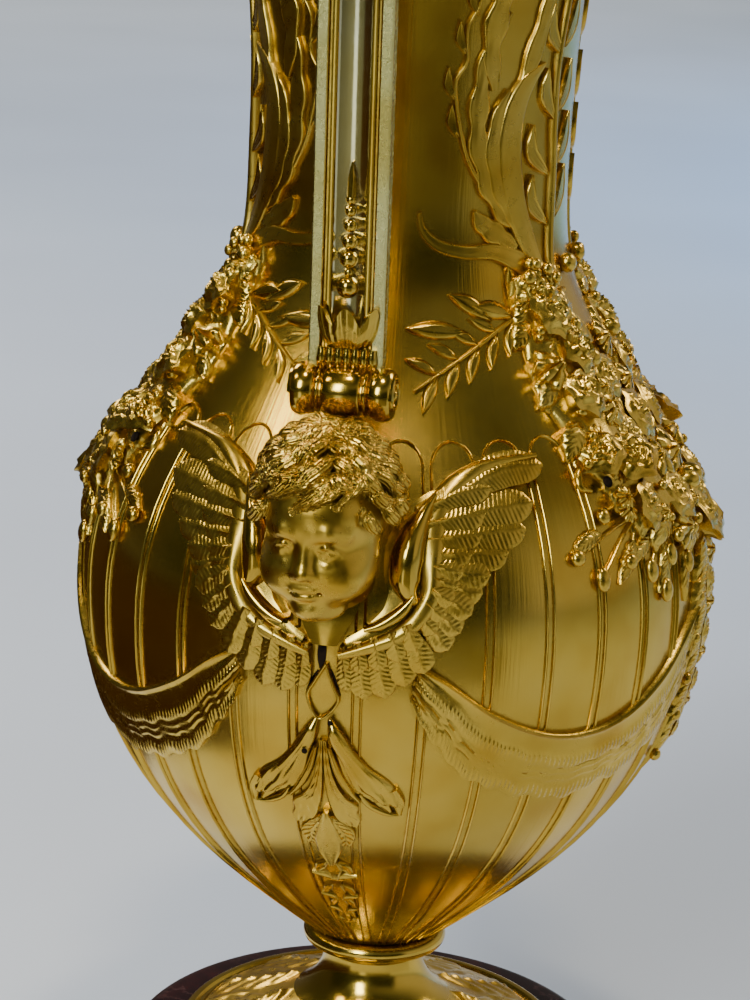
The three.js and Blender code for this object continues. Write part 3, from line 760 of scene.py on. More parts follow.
class Clay:
    """A block of distance samples that is built up and cut with soft joins."""

    def __init__(self, low, high, step):
        self.low, self.step = np.array(low, float), step
        n = np.ceil((np.array(high, float) - self.low) / step).astype(int) + 1
        self.axes = [self.low[i] + step * np.arange(n[i]) for i in range(3)]
        self.field = np.full(n, 50.0)

    def _part(self, low, high):
        where = []
        for i in range(3):
            a, b = np.searchsorted(self.axes[i], [low[i], high[i]])
            where.append(slice(max(0, a - 1), b + 1))
        mesh = np.stack(np.meshgrid(*[self.axes[i][where[i]] for i in range(3)], indexing="ij"), -1)
        return tuple(where), mesh

    def blend(self, shape, low, high, soft, cut):
        margin = 3 * soft + 1.5
        where, points = self._part(np.array(low) - margin, np.array(high) + margin)
        d = shape(points)
        f = self.field[where]
        if cut:
            h = np.clip(0.5 - 0.5 * (f + d) / soft, 0, 1)
            self.field[where] = f * (1 - h) - d * h + soft * h * (1 - h)
        else:
            h = np.clip(0.5 + 0.5 * (f - d) / soft, 0, 1)
            self.field[where] = f * (1 - h) + d * h - soft * h * (1 - h)

    def egg(self, centre, size, soft=1.0, cut=False):
        c, s = np.array(centre, float), np.array(size, float)
        self.blend(lambda p: ellipsoid(p, c, s), c - s, c + s, soft, cut)

    def rod(self, a, b, ra, rb, soft, cut=False):
        a, b = np.array(a, float), np.array(b, float)
        r = max(ra, rb)
        self.blend(
            lambda p: capsule(p, a, b, ra, rb), np.minimum(a, b) - r, np.maximum(a, b) + r, soft, cut
        )

    def chain(self, points, sizes, soft, cut=False):
        for a, b, ra, rb in zip(points, points[1:], sizes, sizes[1:]):
            self.rod(a, b, ra, rb, soft, cut)

    def mesh(self):
        """Points and quads of the surface."""
        f = self.field
        n = np.array(f.shape) - 1
        offsets = np.array([(i, j, k) for i in (0, 1) for j in (0, 1) for k in (0, 1)])
        corner = [f[i : i + n[0], j : j + n[1], k : k + n[2]] for i, j, k in offsets]
        inside = sum((c < 0).astype(np.int8) for c in corner)
        active = (inside > 0) & (inside < 8)
        index = np.full(n, -1)
        index[active] = np.arange(active.sum())
        cells = np.argwhere(active)
        values = np.stack([c[active] for c in corner], -1)
        total, seen = np.zeros((len(cells), 3)), np.zeros(len(cells))
        for a in range(8):
            for b in range(a + 1, 8):
                if np.abs(offsets[a] - offsets[b]).sum() != 1:
                    continue
                va, vb = values[:, a], values[:, b]
                cross = (va < 0) != (vb < 0)
                t = np.where(cross, va / np.where(cross, va - vb, 1), 0)
                total += cross[:, None] * (offsets[a] + t[:, None] * (offsets[b] - offsets[a]))
                seen += cross
        points = self.low + self.step * (cells + total / seen[:, None])
        quads = []
        for axis in range(3):
            p, q = [i for i in range(3) if i != axis]
            sign = f < 0
            first = np.take(sign, range(0, n[axis]), axis)
            second = np.take(sign, range(1, n[axis] + 1), axis)
            change = first != second
            at = np.argwhere(change)
            keep = (at[:, p] > 0) & (at[:, p] < n[p]) & (at[:, q] > 0) & (at[:, q] < n[q])
            at = at[keep]
            ring = []
            for dp, dq in ((1, 1), (0, 1), (0, 0), (1, 0)):
                cell = at.copy()
                cell[:, p] -= dp
                cell[:, q] -= dq
                ring.append(index[tuple(cell.T)])
            ring = np.stack(ring, -1)
            flip = first[tuple(at.T)] == (axis == 1)
            ring[flip] = ring[flip][:, ::-1]
            quads.append(ring)
        return points, np.vstack(quads)


def model_face(clay):
    """Skull, cheeks, eyes, nose and mouth of a generic child, and a cap for the hair."""
    clay.egg(SKULL, SKULL_SIZE)
    clay.egg((0, 5.2, -8), (11.4, 11.6, 12.6), 4)
    clay.egg((0, 8.6, 3.6), (10.6, 8.0, 8.4), 4)
    clay.egg((0, 12.4, -18.0), (3.8, 3.4, 3.0), 3)
    clay.egg((0, 6.5, -20), (7, 6, 3.2), 3)
    upper_lid = [
        (2.0, 14.3, -4.1), (3.4, 15.3, -2.2), (5.1, 15.7, -1.5), (6.9, 14.9, -2.1), (8.2, 13.2, -3.8)
    ]
    lower_lid = [
        (2.0, 14.3, -4.1), (3.6, 15.0, -5.6), (5.1, 15.2, -6.1), (6.8, 14.4, -5.5), (8.2, 13.2, -3.8)
    ]
    for s in (-1, 1):
        clay.egg((6.4 * s, 10.6, -10.4), (5.6, 5.0, 5.4), 4)
        clay.egg((9.4 * s, 4, -9.6), (3.6, 6, 6), 4)
        clay.egg((5.0 * s, 17.8, -3.0), (3.9, 2.3, 2.7), 2.6, True)
        clay.chain([(2.6 * s, 15.0, 1.1), (5.4 * s, 14.9, 1.9), (8.6 * s, 12.4, 0.7)], (0.6, 0.7, 0.5), 3.0)
        clay.egg((5.0 * s, 13.0, -3.6), (3.0, 2.6, 2.7), 0.5)
        clay.chain([(x * s, y, z) for x, y, z in upper_lid], (0.3, 0.42, 0.48, 0.42, 0.3), 0.45)
        clay.chain([(x * s, y, z) for x, y, z in lower_lid], (0.25, 0.28, 0.3, 0.28, 0.25), 0.9)
        clay.egg((4.9 * s, 15.8, -3.9), (0.8, 0.6, 0.8), 0.4, True)
    clay.rod((0, 15.0, -1.2), (0, 16.9, -7.2), 0.9, 1.5, 2.2)
    clay.egg((0, 17.4, -8.0), (1.9, 1.7, 1.6), 1.2)
    for s in (-1, 1):
        clay.egg((1.8 * s, 16.3, -8.6), (1.2, 1.3, 1.1), 0.9)
        clay.egg((0.9 * s, 17.2, -9.6), (0.45, 0.6, 0.35), 0.5, True)
        clay.egg((1.3 * s, 15.8, -12.2), (1.9, 1.1, 0.9), 1.5)
        clay.egg((3.5 * s, 15.3, -12.9), (0.6, 0.5, 0.5), 0.9, True)
    clay.egg((0, 15.7, -14.2), (2.3, 1.2, 1.0), 1.6)
    mouth = [
        (-3.2, 15.5, -13.0), (-1.5, 16.7, -13.2), (0, 17.0, -13.1), (1.5, 16.7, -13.2), (3.2, 15.5, -13.0)
    ]
    clay.chain(mouth, (0.12, 0.18, 0.2, 0.18, 0.12), 0.5, True)
    clay.egg((0, 17.9, -10.9), (0.6, 0.6, 0.9), 0.7, True)
    clay.egg((0, 17.2, -16.3), (2.2, 1.2, 0.7), 1.5, True)
    clay.egg((0, -6, -18), (9.5, 9, 8), 4)
    clay.egg((0, -3.4, 6.3), (15.4, 15.4, 14.4), 0.6)


def on_crown(az, el, lift):
    """A place over the skull at an azimuth and elevation in degrees."""
    a, e = math.radians(az), math.radians(el)
    c = math.cos(e)
    x, y, z = SKULL
    wide, deep, tall = SKULL_SIZE
    return np.array(
        [
            x + (wide + lift) * c * math.sin(a), y + (deep + lift) * c * math.cos(a),
            z + (tall + lift) * math.sin(e)
        ]
    )


def comb_hair(clay):
    """Tousled locks in rows from the crown down and over the brow; gives back their rods."""
    rng = np.random.default_rng(5)
    rods = []

    def lock(az, el, sweep, fall, thick, wave, lift):
        last = None
        for t in np.linspace(0, 1, 7):
            p = on_crown(
                az + sweep * t**1.2 + wave * math.sin(5 * t), el - fall * t,
                lift + 1.5 * math.sin(math.pi * min(1, 0.2 + 0.8 * t))
            )
            r = thick * (0.7 + 0.5 * math.sin(math.pi * min(1, t + 0.15))) * (1 - 0.55 * t**3)
            if last is not None:
                clay.rod(last[0], p, last[1], r, 0.3)
                rods.append((last[0], p, r))
            last = (p, r)

    rows = [(90, 7, 30), (76, 12, 28), (60, 17, 25), (45, 21, 23), (31, 24, 21), (16, 22, 20), (1, 17, 17)]
    for k, (el, count, run) in enumerate(rows):
        for i in range(count):
            az = -172 + 344 * (i + 0.5 * (k % 2)) / count + rng.uniform(-5, 5)
            front = abs(az - 4) < 50
            if front and el < 30:
                continue
            sweep = (-30 if az < 25 else 26) + rng.uniform(-16, 16)
            fall = (run + rng.uniform(-4, 5)) * (0.62 if front and el < 40 else 1)
            lock(
                az, el + 8, sweep, fall, rng.uniform(1.35, 2.0), rng.uniform(-6, 6),
                1.3 + rng.uniform(-0.3, 0.6)
            )
    for i in range(10):
        lock(
            -58 + 12 * i, 38 + 4 * math.sin(i * 1.7), -20 + 5 * math.sin(2.1 * i),
            17 + 4 * math.sin(i * 2.3), 1.25, 4, 1.7
        )
    return rods


def hair_lines(points, rods):
    """Phase and depth of the single hairs at points close to a lock's rod."""
    lines = np.zeros((len(points), 2))
    best = np.full(len(points), 0.7)
    for a, b, r in rods:
        low, high = np.minimum(a, b) - r - 0.8, np.maximum(a, b) + r + 0.8
        near = np.nonzero(((points > low) & (points < high)).all(axis=1))[0]
        axis = unit(b - a)
        from_a = points[near] - a
        along = np.clip(from_a @ axis, 0, np.linalg.norm(b - a))
        aside = from_a - along[:, None] * axis
        gap = np.abs(np.linalg.norm(aside, axis=1) - r)
        mine = gap < best[near]
        near, aside = near[mine], aside[mine]
        best[near] = gap[mine]
        u = unit(np.cross(axis, (a + b) / 2 - np.array(SKULL)))
        lines[near, 0] = 5.5 * np.arctan2(aside @ u, aside @ np.cross(u, axis)) / math.pi
        lines[near, 1] = 0.8
    return lines


def child_head():
    """A calm child's head with short tousled locks; x right, y towards the viewer, z up."""
    clay = Clay((-23, -20, -27), (23, 25, 27), 0.46)
    model_face(clay)
    rods = comb_hair(clay)
    points, quads = clay.mesh()
    return points, quads, hair_lines(points, rods)


def cherub():
    piece = Piece()
    wing(piece, -1)
    wing(piece, 1)
    p, quads, lines = child_head()
    down, aside = math.radians(7), math.radians(-6)
    y = p[:, 1] * math.cos(down) + p[:, 2] * math.sin(down)
    z = -p[:, 1] * math.sin(down) + p[:, 2] * math.cos(down)
    x = p[:, 0] * math.cos(aside) + y * math.sin(aside)
    y = -p[:, 0] * math.sin(aside) + y * math.cos(aside)
    points = np.stack([x, -HEAD_Y - y, HEAD_Z + z], -1)
    buried = np.hypot(points[:, 0], points[:, 1]) < radius(points[:, 2]) - 1.5
    quads = quads[~buried[quads].all(axis=1)]
    used, quads = np.unique(quads, return_inverse=True)
    quads = quads.reshape(-1, 4)
    lines = lines[used]
    hair = lines[:, 1] > 0
    piece.add(points[used], quads, np.where(hair[quads].any(axis=1), WORK, EXTRA), lines)
    blade(piece, [(0, 186), (0, 178), (0, 170)], widths(9, 7, 3), arched(2.6, 0.4), 16, 9, EDGE)
    return piece


# Husk drop under each cherub


def lobe(piece, path, law, tall, side=1, curl=0.6, nt=28, nw=12):
    """One lobe of a leaf: a soft crown, a rolled rim and a fine mid line."""

    def height(t, w):
        rim = 0.38 * bump(np.abs(w), 0.84, 0.13)
        line = -0.28 * bump(w, 0.05, 0.09) * (1 - t)
        return 0.35 + tall * (1 - 0.55 * w * w) * (1 - 0.45 * t) + rim + line + curl * t**4

    blade(piece, path, law, height, nt, nw, WORK, side)


def pit(piece, phi, z, r, lift):
    """A small hole, drawn as a near-black ellipsoid: painted shade of its depth, with black dirt."""
    pea(piece, phi, z, lift, (r, r, 0.4 * r), EXTRA, 8, 14)


def bell(piece, side):
    """A bellflower seen from its side, opening down and away from the middle."""
    outer = [
        (1.5, 151.4), (3.8, 147.6), (6.0, 142.4), (8.6, 138.2), (12.0, 134.8), (14.0, 131.1), (14.3, 127.8)
    ]
    inner = [
        (0.7, 150.6), (1.0, 146.2), (2.3, 141.5), (3.1, 136.2), (4.8, 132.2), (7.2, 130.6), (9.4, 129.2)
    ]

    def height(t, s):
        x = 2 * s - 1
        body = np.interp(t, [0, 0.1, 0.26, 0.5, 1], [1.0, 2.7, 2.6, 1.5, 1.0])
        petals = 0.3 * np.cos(2 * np.pi * 2.5 * s) * np.clip(t * 1.6 - 0.3, 0, 1)
        return 0.3 + body * np.clip(1 - x * x, 0, 1) ** 0.34 + 0.7 * petals + 0.4 * bump(t, 0.96, 0.04)

    def lines(t, s):
        return 6 * s + 0.4 * np.sin(9 * t), 0.28 * np.clip(t * 1.4, 0, 1) * window(s, 0.1, 0.9, 0.03)

    lobe(piece, [(12.4, 132.5), (13.8, 129), (14.2, 125.7)], widths(1.6, 1.7, 0.5), 1.2, side)
    lobe(piece, [(9.6, 131), (11.2, 128.4), (12.4, 126.6)], widths(1.6, 1.6, 0.5), 1.0, side)
    band(piece, inner, outer, height, 44, 19, WORK, side, lines)
    lip = [(6.6, 131.2), (8.2, 128.2), (10.2, 126.6), (12.2, 125.7), (14.2, 125.6)]
    blade(piece, lip, widths(0.5, 0.85, 0.95, 0.85, 0.4), half_round(0.5, 1.1), 32, 9, WORK, side)


def husk(piece, outer, inner, tall, side, nt):
    """A broad leaf between two edge lines, crowned and veined, with a rolled rim."""

    def height(t, s):
        x = np.abs(2 * s - 1)
        return (
            0.3 + tall * (1 - 0.55 * x * x) * (1 - 0.35 * t) + 0.34 * bump(x, 0.85, 0.13)
            - 0.25 * bump(x, 0, 0.12)
        )

    def lines(t, s):
        x = np.abs(2 * s - 1)
        return 7 * t - 1.3 * x, 0.32 * window(x, 0.12, 0.8, 0.05)

    band(piece, inner, outer, height, nt, 15, WORK, side, lines)


def drop():
    piece = Piece()
    low_out = [(0.8, 124), (3.6, 121.8), (5.4, 119.4), (5.7, 116.8), (4.6, 114.2)]
    low_in = [(0.2, 123), (0.7, 119.6), (1.5, 116.8), (2.6, 114)]
    high_out = [
        (0.6, 145.5), (1.6, 136.8), (3.5, 130.8), (6.4, 127.2), (6.2, 125.2), (6.9, 123), (6.2, 120.8)
    ]
    high_in = [(0, 145.5), (0.1, 136), (0.4, 130), (1.0, 126), (2.0, 123), (4.0, 121.2)]
    for side in (-1, 1):
        husk(piece, low_out, low_in, 1.2, side, 28)
        husk(piece, high_out, high_in, 1.2, side, 36)
        lobe(
            piece, [(1.2, 144), (2.6, 137.4), (4.6, 132.4), (6.6, 129.4)], widths(0.5, 0.9, 1.1, 0.5), 2.0,
            side
        )
        bell(piece, side)
    lobe(piece, [(0, 125), (0, 119), (0, 113), (0, 107.4)], widths(0.8, 2.2, 3.5, 3.0, 0.6), 1.6)
    # Two holes as near-black ellipsoids: painted shade of their depth, with dirt
    pit(piece, -2.9, 143.2, 0.75, 3.1)
    pit(piece, 1.4, 150.6, 0.7, 2.0)
    for z, wide, tall in ((102.3, 5.6, 1.9), (93.6, 4.6, 1.6), (87.6, 3.4, 1.3), (82.5, 2.2, 1.0)):
        reach = math.degrees(wide / float(radius(z)))
        shape = widths(0.5, 0.8 * tall, tall, 0.8 * tall, 0.5)
        blade(
            piece, [(-reach, z + 0.9), (0, z - 0.8), (reach, z + 0.9)], shape, half_round(0.3, 1.1), 30, 11,
            WORK
        )
        lobe(
            piece, [(0, z + 5.5), (0, z + 2.5), (0, z - 0.5)], widths(0.6 * tall, 1.2 * tall, 0.5 * tall),
            1.0
        )
        for s in (-1, 1):
            lobe(
                piece, [(0.2 * reach, z + 5), (0.55 * reach, z + 3), (0.8 * reach, z + 0.8)],
                widths(0.4, 0.8 * tall, 0.4), 0.6, s, 0.2, 20, 9
            )
    loop = [(0.2, 165), (-1.6, 160.5), (-2.8, 156.4), (-0.7, 151), (2.4, 155.6), (1.5, 160), (0.2, 165)]
    blade(piece, loop, widths(0.5, 0.5), half_round(0.4, 1.0), 60, 7, EDGE)
    # Slots of the open lozenge under the chin, laid as near-black sheets: painted shade of the openings,
    # with dirt
    slots = [
        ([(-0.6, 171.5), (-0.7, 163.5)], 1.1),
        ([(0.9, 163.5), (1.7, 160), (2.7, 157)], 0.7),
        ([(-1.2, 163), (-2.2, 160), (-3.1, 157.5)], 0.5),
    ]
    for path, wide in slots:
        blade(
            piece, path, lambda t: wide * np.sin(np.pi * np.clip(t, 0.06, 0.94)) ** 0.5, arched(0.12, 0),
            14, 5, EXTRA
        )
    piece.join(piece.twin())
    return piece.make("husk_drops_gilt", GOLD + [HOLE_SHADE_AND_DIRT], "gilt")


# Flowers, leaves and berries of the garlands


def flower_grid(reach, a, z):
    """A polar grid of points, with a skirt that tapers in under its edge."""
    points = np.stack([reach * np.cos(a), reach * np.sin(a), z + 0 * a], -1)
    return np.concatenate([points, points[-1:] * np.array([0.55, 0.55, 0]) - np.array([0, 0, 0.5])])


def rose_points(rng):
    """A full rose as one polar grid: a dome stepped in rings of cupped petals."""
    rho, a = np.linspace(0.015, 1, 18)[:, None], circle(30)[None, :]
    z = 0.66 * np.sqrt(1 - 0.8 * rho**2) + 0 * a
    for r0, r1, n in ((0.0, 0.2, 2), (0.2, 0.44, 3), (0.44, 0.72, 5), (0.72, 1.3, 6)):
        turn = rng.uniform(0, 6)
        s = (rho * (1 + 0.09 * np.cos(n * a + turn)) - r0) / (r1 - r0)
        petal = (s >= 0) & (s < 1)
        crease = bump(np.cos(0.5 * (n * a + turn)), 0, 0.16)
        z = z + petal * (0.17 * np.clip(s, 0, 1) ** 2.2 - 0.1 - 0.1 * crease)
    edge = 1 + 0.09 * np.cos(6 * a + rng.uniform(0, 6)) + 0.03 * np.cos(11 * a)
    return flower_grid(rho * edge, a, z)


def daisy_points(count, open_eye=False):
    """An open flower as one polar grid, with grooved petals round a raised or hollow eye."""
    rho, a = np.linspace(0.015, 1, 10)[:, None], circle(4 * count)[None, :]
    petal = np.abs(np.cos(count * a / 2))
    edge = 0.6 + 0.4 * petal**0.55
    z = (
        0.34 + 0.2 * np.sin(np.pi * rho**0.8) - 0.22 * rho**3
        - 0.16 * (1 - petal**0.6) * np.clip(rho / 0.4, 0, 1)
    )
    z = z - 0.05 * bump(petal, 1, 0.12) * np.sin(np.pi * rho)
    z = z + (-0.7 if open_eye else 0.3) * np.clip(1 - (rho / 0.3) ** 2, 0, 1) ** 0.6
    return flower_grid(rho * edge, a, z)


def plant(piece, points, phi, z, size, lift, spin, tip_u=0.0, tip_v=0.0, tall=0.66):
    """One flower set on the skin, leaning by tip_u round and tip_v up."""
    place, round_, up, out = local_frame(phi, z, lift)
    out2 = unit(out + tip_u * round_ + tip_v * up)
    r2 = unit(round_ - out2 * (round_ @ out2))
    u2 = np.cross(out2, r2)
    c, s = math.cos(spin), math.sin(spin)
    axes = np.stack([c * r2 + s * u2, -s * r2 + c * u2, out2])
    piece.grid(place + (points * np.array([size, size, tall * size])) @ axes, wrap=True, mat=WORK, out=out2)


def berry(piece, phi, z, r, lift):
    pea(piece, phi, z, lift, (r, r, 0.85 * r), WORK, 8, 12)


def garland_leaf(piece, phi, z, angle, length, width, lift, side, rng):
    a = math.radians(angle)
    r = float(radius(z))
    end = (phi + math.degrees(length * math.cos(a) / r), z + length * math.sin(a) * float(lean(z)))
    b = rng.uniform(-2.0, 2.0)

    def height(t, w):
        crown = 0.7 - 0.9 * w * w - 0.35 * bump(w, 0, 0.13)
        return lift * (0.8 + 0.4 * np.sin(np.pi * t)) * (1 - 0.75 * t**2.5) + crown

    def veins(t, w):
        return 7 * t - 1.6 * np.abs(w), 0.9 * (1 - t) * window(np.abs(w), 0.1, 0.9, 0.05)

    path = bowed((phi, z), end, b, b * 0.8)
    blade(piece, path, lobed(width, 4.5, 0.22, 0.42), height, 17, 7, WORK, side, veins)


def bud(piece, phi, z, size, lift, lean_u):
    """A smooth closed bud held by three sepals."""
    place, round_, up, out = local_frame(phi, z, lift)
    axis = unit(out + lean_u * round_ - 0.35 * up)
    a = unit(np.cross(up, axis))
    b = np.cross(axis, a)
    ball(piece, place, (size, size, size * 1.2), WORK, 14, 20, [a, b, axis])
    for i in range(3):
        side = math.cos(2.1 * i) * a + math.sin(2.1 * i) * b
        path = [
            place - axis * size * 0.9, place - axis * 0.3 * size + side * size * 0.98,
            place + axis * 0.5 * size + side * size * 0.98
        ]
        leaf3d(piece, path, side, widths(0.5 * size, 0.55 * size, 0.1), arched(0.25, 0.2), 12, 7, WORK)


GARLAND = spline([(55, 250), (57, 237), (58, 225), (62, 212), (69, 201), (79, 193), (90, 188)], 60)


def garland_at(t):
    """A place along the garland's middle line, t from its top to its low end."""
    return GARLAND[int(round(np.clip(t, 0, 1) * (len(GARLAND) - 1)))]


def garland_leaves(piece, side, rng):
    """A knobbly bed with leaves that stand out on both sides."""

    def bed(t, w):
        return 1.0 + 2.6 * (1 - w * w) + 0.7 * np.sin(40 * t + 5 * w) * np.cos(9 * w + 17 * t)

    def half(t):
        return 4 + 5.5 * np.sin(np.pi * np.clip(t * 0.75 + 0.15, 0, 1))

    blade(piece, GARLAND[::6], half, bed, 70, 13, WORK, side)
    for i in range(38):
        t = (i + 0.5) / 38
        phi, z = garland_at(t)
        way = (-1) ** i
        angle = -60 + 40 * t + way * rng.uniform(40, 100)
        start = rng.uniform(1, 6) * way
        garland_leaf(
            piece, phi + 0.8 * start, z + rng.uniform(-4, 4), angle, rng.uniform(9, 14),
            rng.uniform(2.8, 4.2), rng.uniform(1.4, 3.2), side, rng
        )


def garland_flowers(piece, side, rng, roses, daisies):
    """Large flowers at set places, small ones scattered, and two buds."""
    big = [
        (0.03, -2, 4.6), (0.14, 1, 6.4), (0.25, -5, 5.4), (0.28, 6, 5.6), (0.38, 0, 6.2), (0.47, 7, 5.4),
        (0.5, -5, 5.6)
    ]
    big += [
        (0.6, 1, 6.4), (0.69, 8, 5.0), (0.71, -5, 5.6), (0.8, 2, 6.4), (0.9, -5, 5.6), (0.92, 6, 5.4),
        (1.0, 0, 7.4)
    ]
    for i, (t, off, size) in enumerate(big):
        phi, z = garland_at(t)
        kind = daisies[(i // 3) % 3] if i % 3 == 2 else roses[i % 3]
        lean_out = rng.uniform(-0.35, 0.35)
        plant(
            piece, kind, side * (phi + off), z + off * 0.55, 1.18 * size, 1.7 + rng.uniform(0, 1.0),
            rng.uniform(0, 6), side * lean_out, rng.uniform(-0.3, 0.45), float(np.clip(1.35 - t, 0.6, 1.05))
        )
    for i in range(14):
        phi, z = garland_at(rng.uniform(0.02, 0.98))
        off = rng.uniform(-11, 11)
        plant(
            piece, daisies[i % 3], side * (phi + off), z + 0.35 * off + rng.uniform(-4, 4),
            rng.uniform(2.4, 3.8), rng.uniform(2.4, 4.2), rng.uniform(0, 6)
        )
    for t, off, size in ((0.33, 11, 2.8), (0.83, 9, 3.0)):
        phi, z = garland_at(t)
        bud(piece, side * (phi + off), z + off * 0.3, size, 2.6, side * 0.4)


def garland_berries(piece, side, rng):
    """A curled stalk with two dark holes, and berries over the top and along the line."""
    hook = [(59, 203), (55.5, 206.5), (51.5, 206.6), (50.4, 203.6), (52.6, 202.2)]
    blade(
        piece, hook, widths(1.8, 1.8, 1.5, 1.2, 0.6),
        lambda t, w: 0.4 + 2.0 * (1 - 0.6 * w * w) * (1 - 0.4 * t), 34, 9, WORK, side
    )
    # The two holes are near-black ellipsoids: painted shade of their depth, with dirt
    pit(piece, side * 56.6, 203.2, 1.5, 2.6)
    pit(piece, side * 54.2, 197.4, 1.1, 1.4)
    for _ in range(24):
        berry(
            piece, side * (55 + rng.uniform(-6, 10)), 248.5 + rng.uniform(-5, 5), rng.uniform(1.3, 2.1),
            rng.uniform(2.0, 4.6)
        )
    berry(piece, side * 79.6, 251, 2.6, 1.6)
    for _ in range(16):
        phi, z = garland_at(rng.uniform(0.1, 1))
        off = rng.uniform(-12, 12)
        berry(piece, side * (phi + off), z + 0.3 * off, rng.uniform(1.1, 1.8), rng.uniform(3.0, 4.6))


def garland_sprigs(piece, side, rng):
    """Seeds and leaves on thin stalks that hang from three roots."""
    roots = ((65, 196), (73, 190), (83, 184))
    seeds = [
        (53.5, 196.5), (64, 194.5), (75, 189.5), (45.5, 188.6), (58, 185.5), (63.6, 182), (71, 184),
        (50.5, 183), (78, 180), (68, 176)
    ]
    for i, (phi, z) in enumerate(seeds):
        long = 1.0 if i < 5 else 1.55
        pea(piece, side * phi, z, 1.2, (2.0, 2.0 * long, 1.5), WORK, 12, 16)
        top = min(roots, key=lambda root: abs(root[0] - phi - 9))
        bend = 1.5 * math.sin(i * 1.7 + 0.4)
        stalk = [(phi, z), ((phi + top[0]) / 2 + bend, (z + top[1]) / 2 + 1.8 + bend), top]
        blade(piece, stalk, lambda t: 0.5 + 0.3 * t, arched(0.15, 0.8), 18, 5, WORK, side)
    hanging = [
        (66, 190, 205, 14), (60, 190, 235, 12), (70, 188, 250, 14), (79, 186, 262, 17), (52, 193, 200, 10)
    ]
    for phi, z, angle, length in hanging:
        garland_leaf(piece, phi, z, angle, length, 2.4, 0.9, side, rng)


def garland(piece, side):
    rng = np.random.default_rng(21)
    roses = [rose_points(rng) for _ in range(3)]
    daisies = [daisy_points(8), daisy_points(10, True), daisy_points(6)]
    garland_leaves(piece, side, rng)
    garland_flowers(piece, side, rng, roses, daisies)
    garland_berries(piece, side, rng)
    garland_sprigs(piece, side, rng)


def pendant(piece, phi):
    rng = np.random.default_rng(33)
    rose = rose_points(rng)
    daisy = daisy_points(8)
    for off, z, angle in (
        (6, 226, -20), (12, 219, -35), (4, 214, -60), (14, 209, -50), (3, 203, -70), (10, 232, 30)
    ):
        garland_leaf(piece, phi - off, z, 180 - angle, 15, 4.4, 1.0, 1, rng)
        garland_leaf(piece, phi + off, z, angle, 15, 4.4, 1.0, 1, rng)
    blooms = [(-13, 224, 6.2), (13, 224, 6.2), (0, 231, 5.4), (-7, 214, 7.0), (8, 213, 7.0)]
    blooms += [(0, 203, 7.4), (-17, 211, 5.6), (17, 211, 5.6), (0, 221, 5.0)]
    for off, z, size in blooms:
        plant(piece, rose if abs(off) > 5 else daisy, phi + off, z, size, 0.7, 0.7 * off)
    for i in range(13):
        f = i / 12
        z = 184 - 50 * f
        for s in (-1, 1):
            garland_leaf(
                piece, phi + s * 1.5, z, -90 + s * rng.uniform(28, 62), 14 - 5 * f, 3.2 - 0.8 * f,
                2.4 - 0.8 * f, 1, rng
            )
    garland_leaf(piece, phi, 142, -90, 24, 3.2, 2.2, 1, rng)
    for i in range(8):
        plant(
            piece, rose if i % 2 else daisy, phi + (-1) ** i * 1.6, 178 - 6.6 * i, 5.0 - 0.32 * i, 2.2,
            1.3 * i
        )
    for i in range(10):
        berry(piece, phi + (-1) ** i * rng.uniform(4, 8), 174 - 5.4 * i, 1.7, 1.6)


def garlands():
    """One piece for each main face: two half garlands that meet over a pendant."""
    face, other = Piece(), Piece()
    garland(face, 1)
    garland(other, -1)
    face.join(other.twin())
    pendant(face, 90)
    finishes = [SATIN, BRIGHT, FLOWER, BRUSHED, HOLE_SHADE_AND_DIRT]
    face.make("garland_right_gilt", finishes, "gilt", sharp=60)
    face.twin().make("garland_left_gilt", finishes, "gilt", sharp=60)


# Low acanthus on the neck and leaf sprays on the shoulder


def frond(piece, path, law, tall, side, notch=0.0, lobes=6):
    """A smooth acanthus leaf with a rolled double edge, notched along its outer side."""

    def half(t):
        return law(t) * (1 - notch * np.abs(np.cos(np.pi * lobes * t)) ** 3)

    def height(t, w):
        rim = 0.5 * bump(np.abs(w), 0.86, 0.12) + 0.22 * bump(np.abs(w), 0.52, 0.1)
        fall = 1 - 0.35 * t
        return (
            0.2 + tall * fall * (0.55 + 0.45 * np.cos(1.35 * w)) + rim * fall
            - 0.5 * notch * np.abs(np.cos(np.pi * lobes * t)) ** 6 * np.abs(w)
        )

    blade(piece, path, half, height, 44, 11, EDGE, side)


def stem(piece, path, width, tall, side, nt=60):
    blade(piece, path, lambda t: width * (1 - 0.5 * t), half_round(0.1, tall), nt, 9, EDGE, side)


def plain_leaf(piece, root, tip, width, tall, side, bow):
    def height(t, w):
        return 0.2 + tall * (1 - w * w) - 0.45 * bump(w, 0, 0.16) * (1 - t)

    blade(piece, bowed(root, tip, bow, 0.6 * bow), pointed(width, 0.5, 0.8), height, 18, 9, WORK, side)


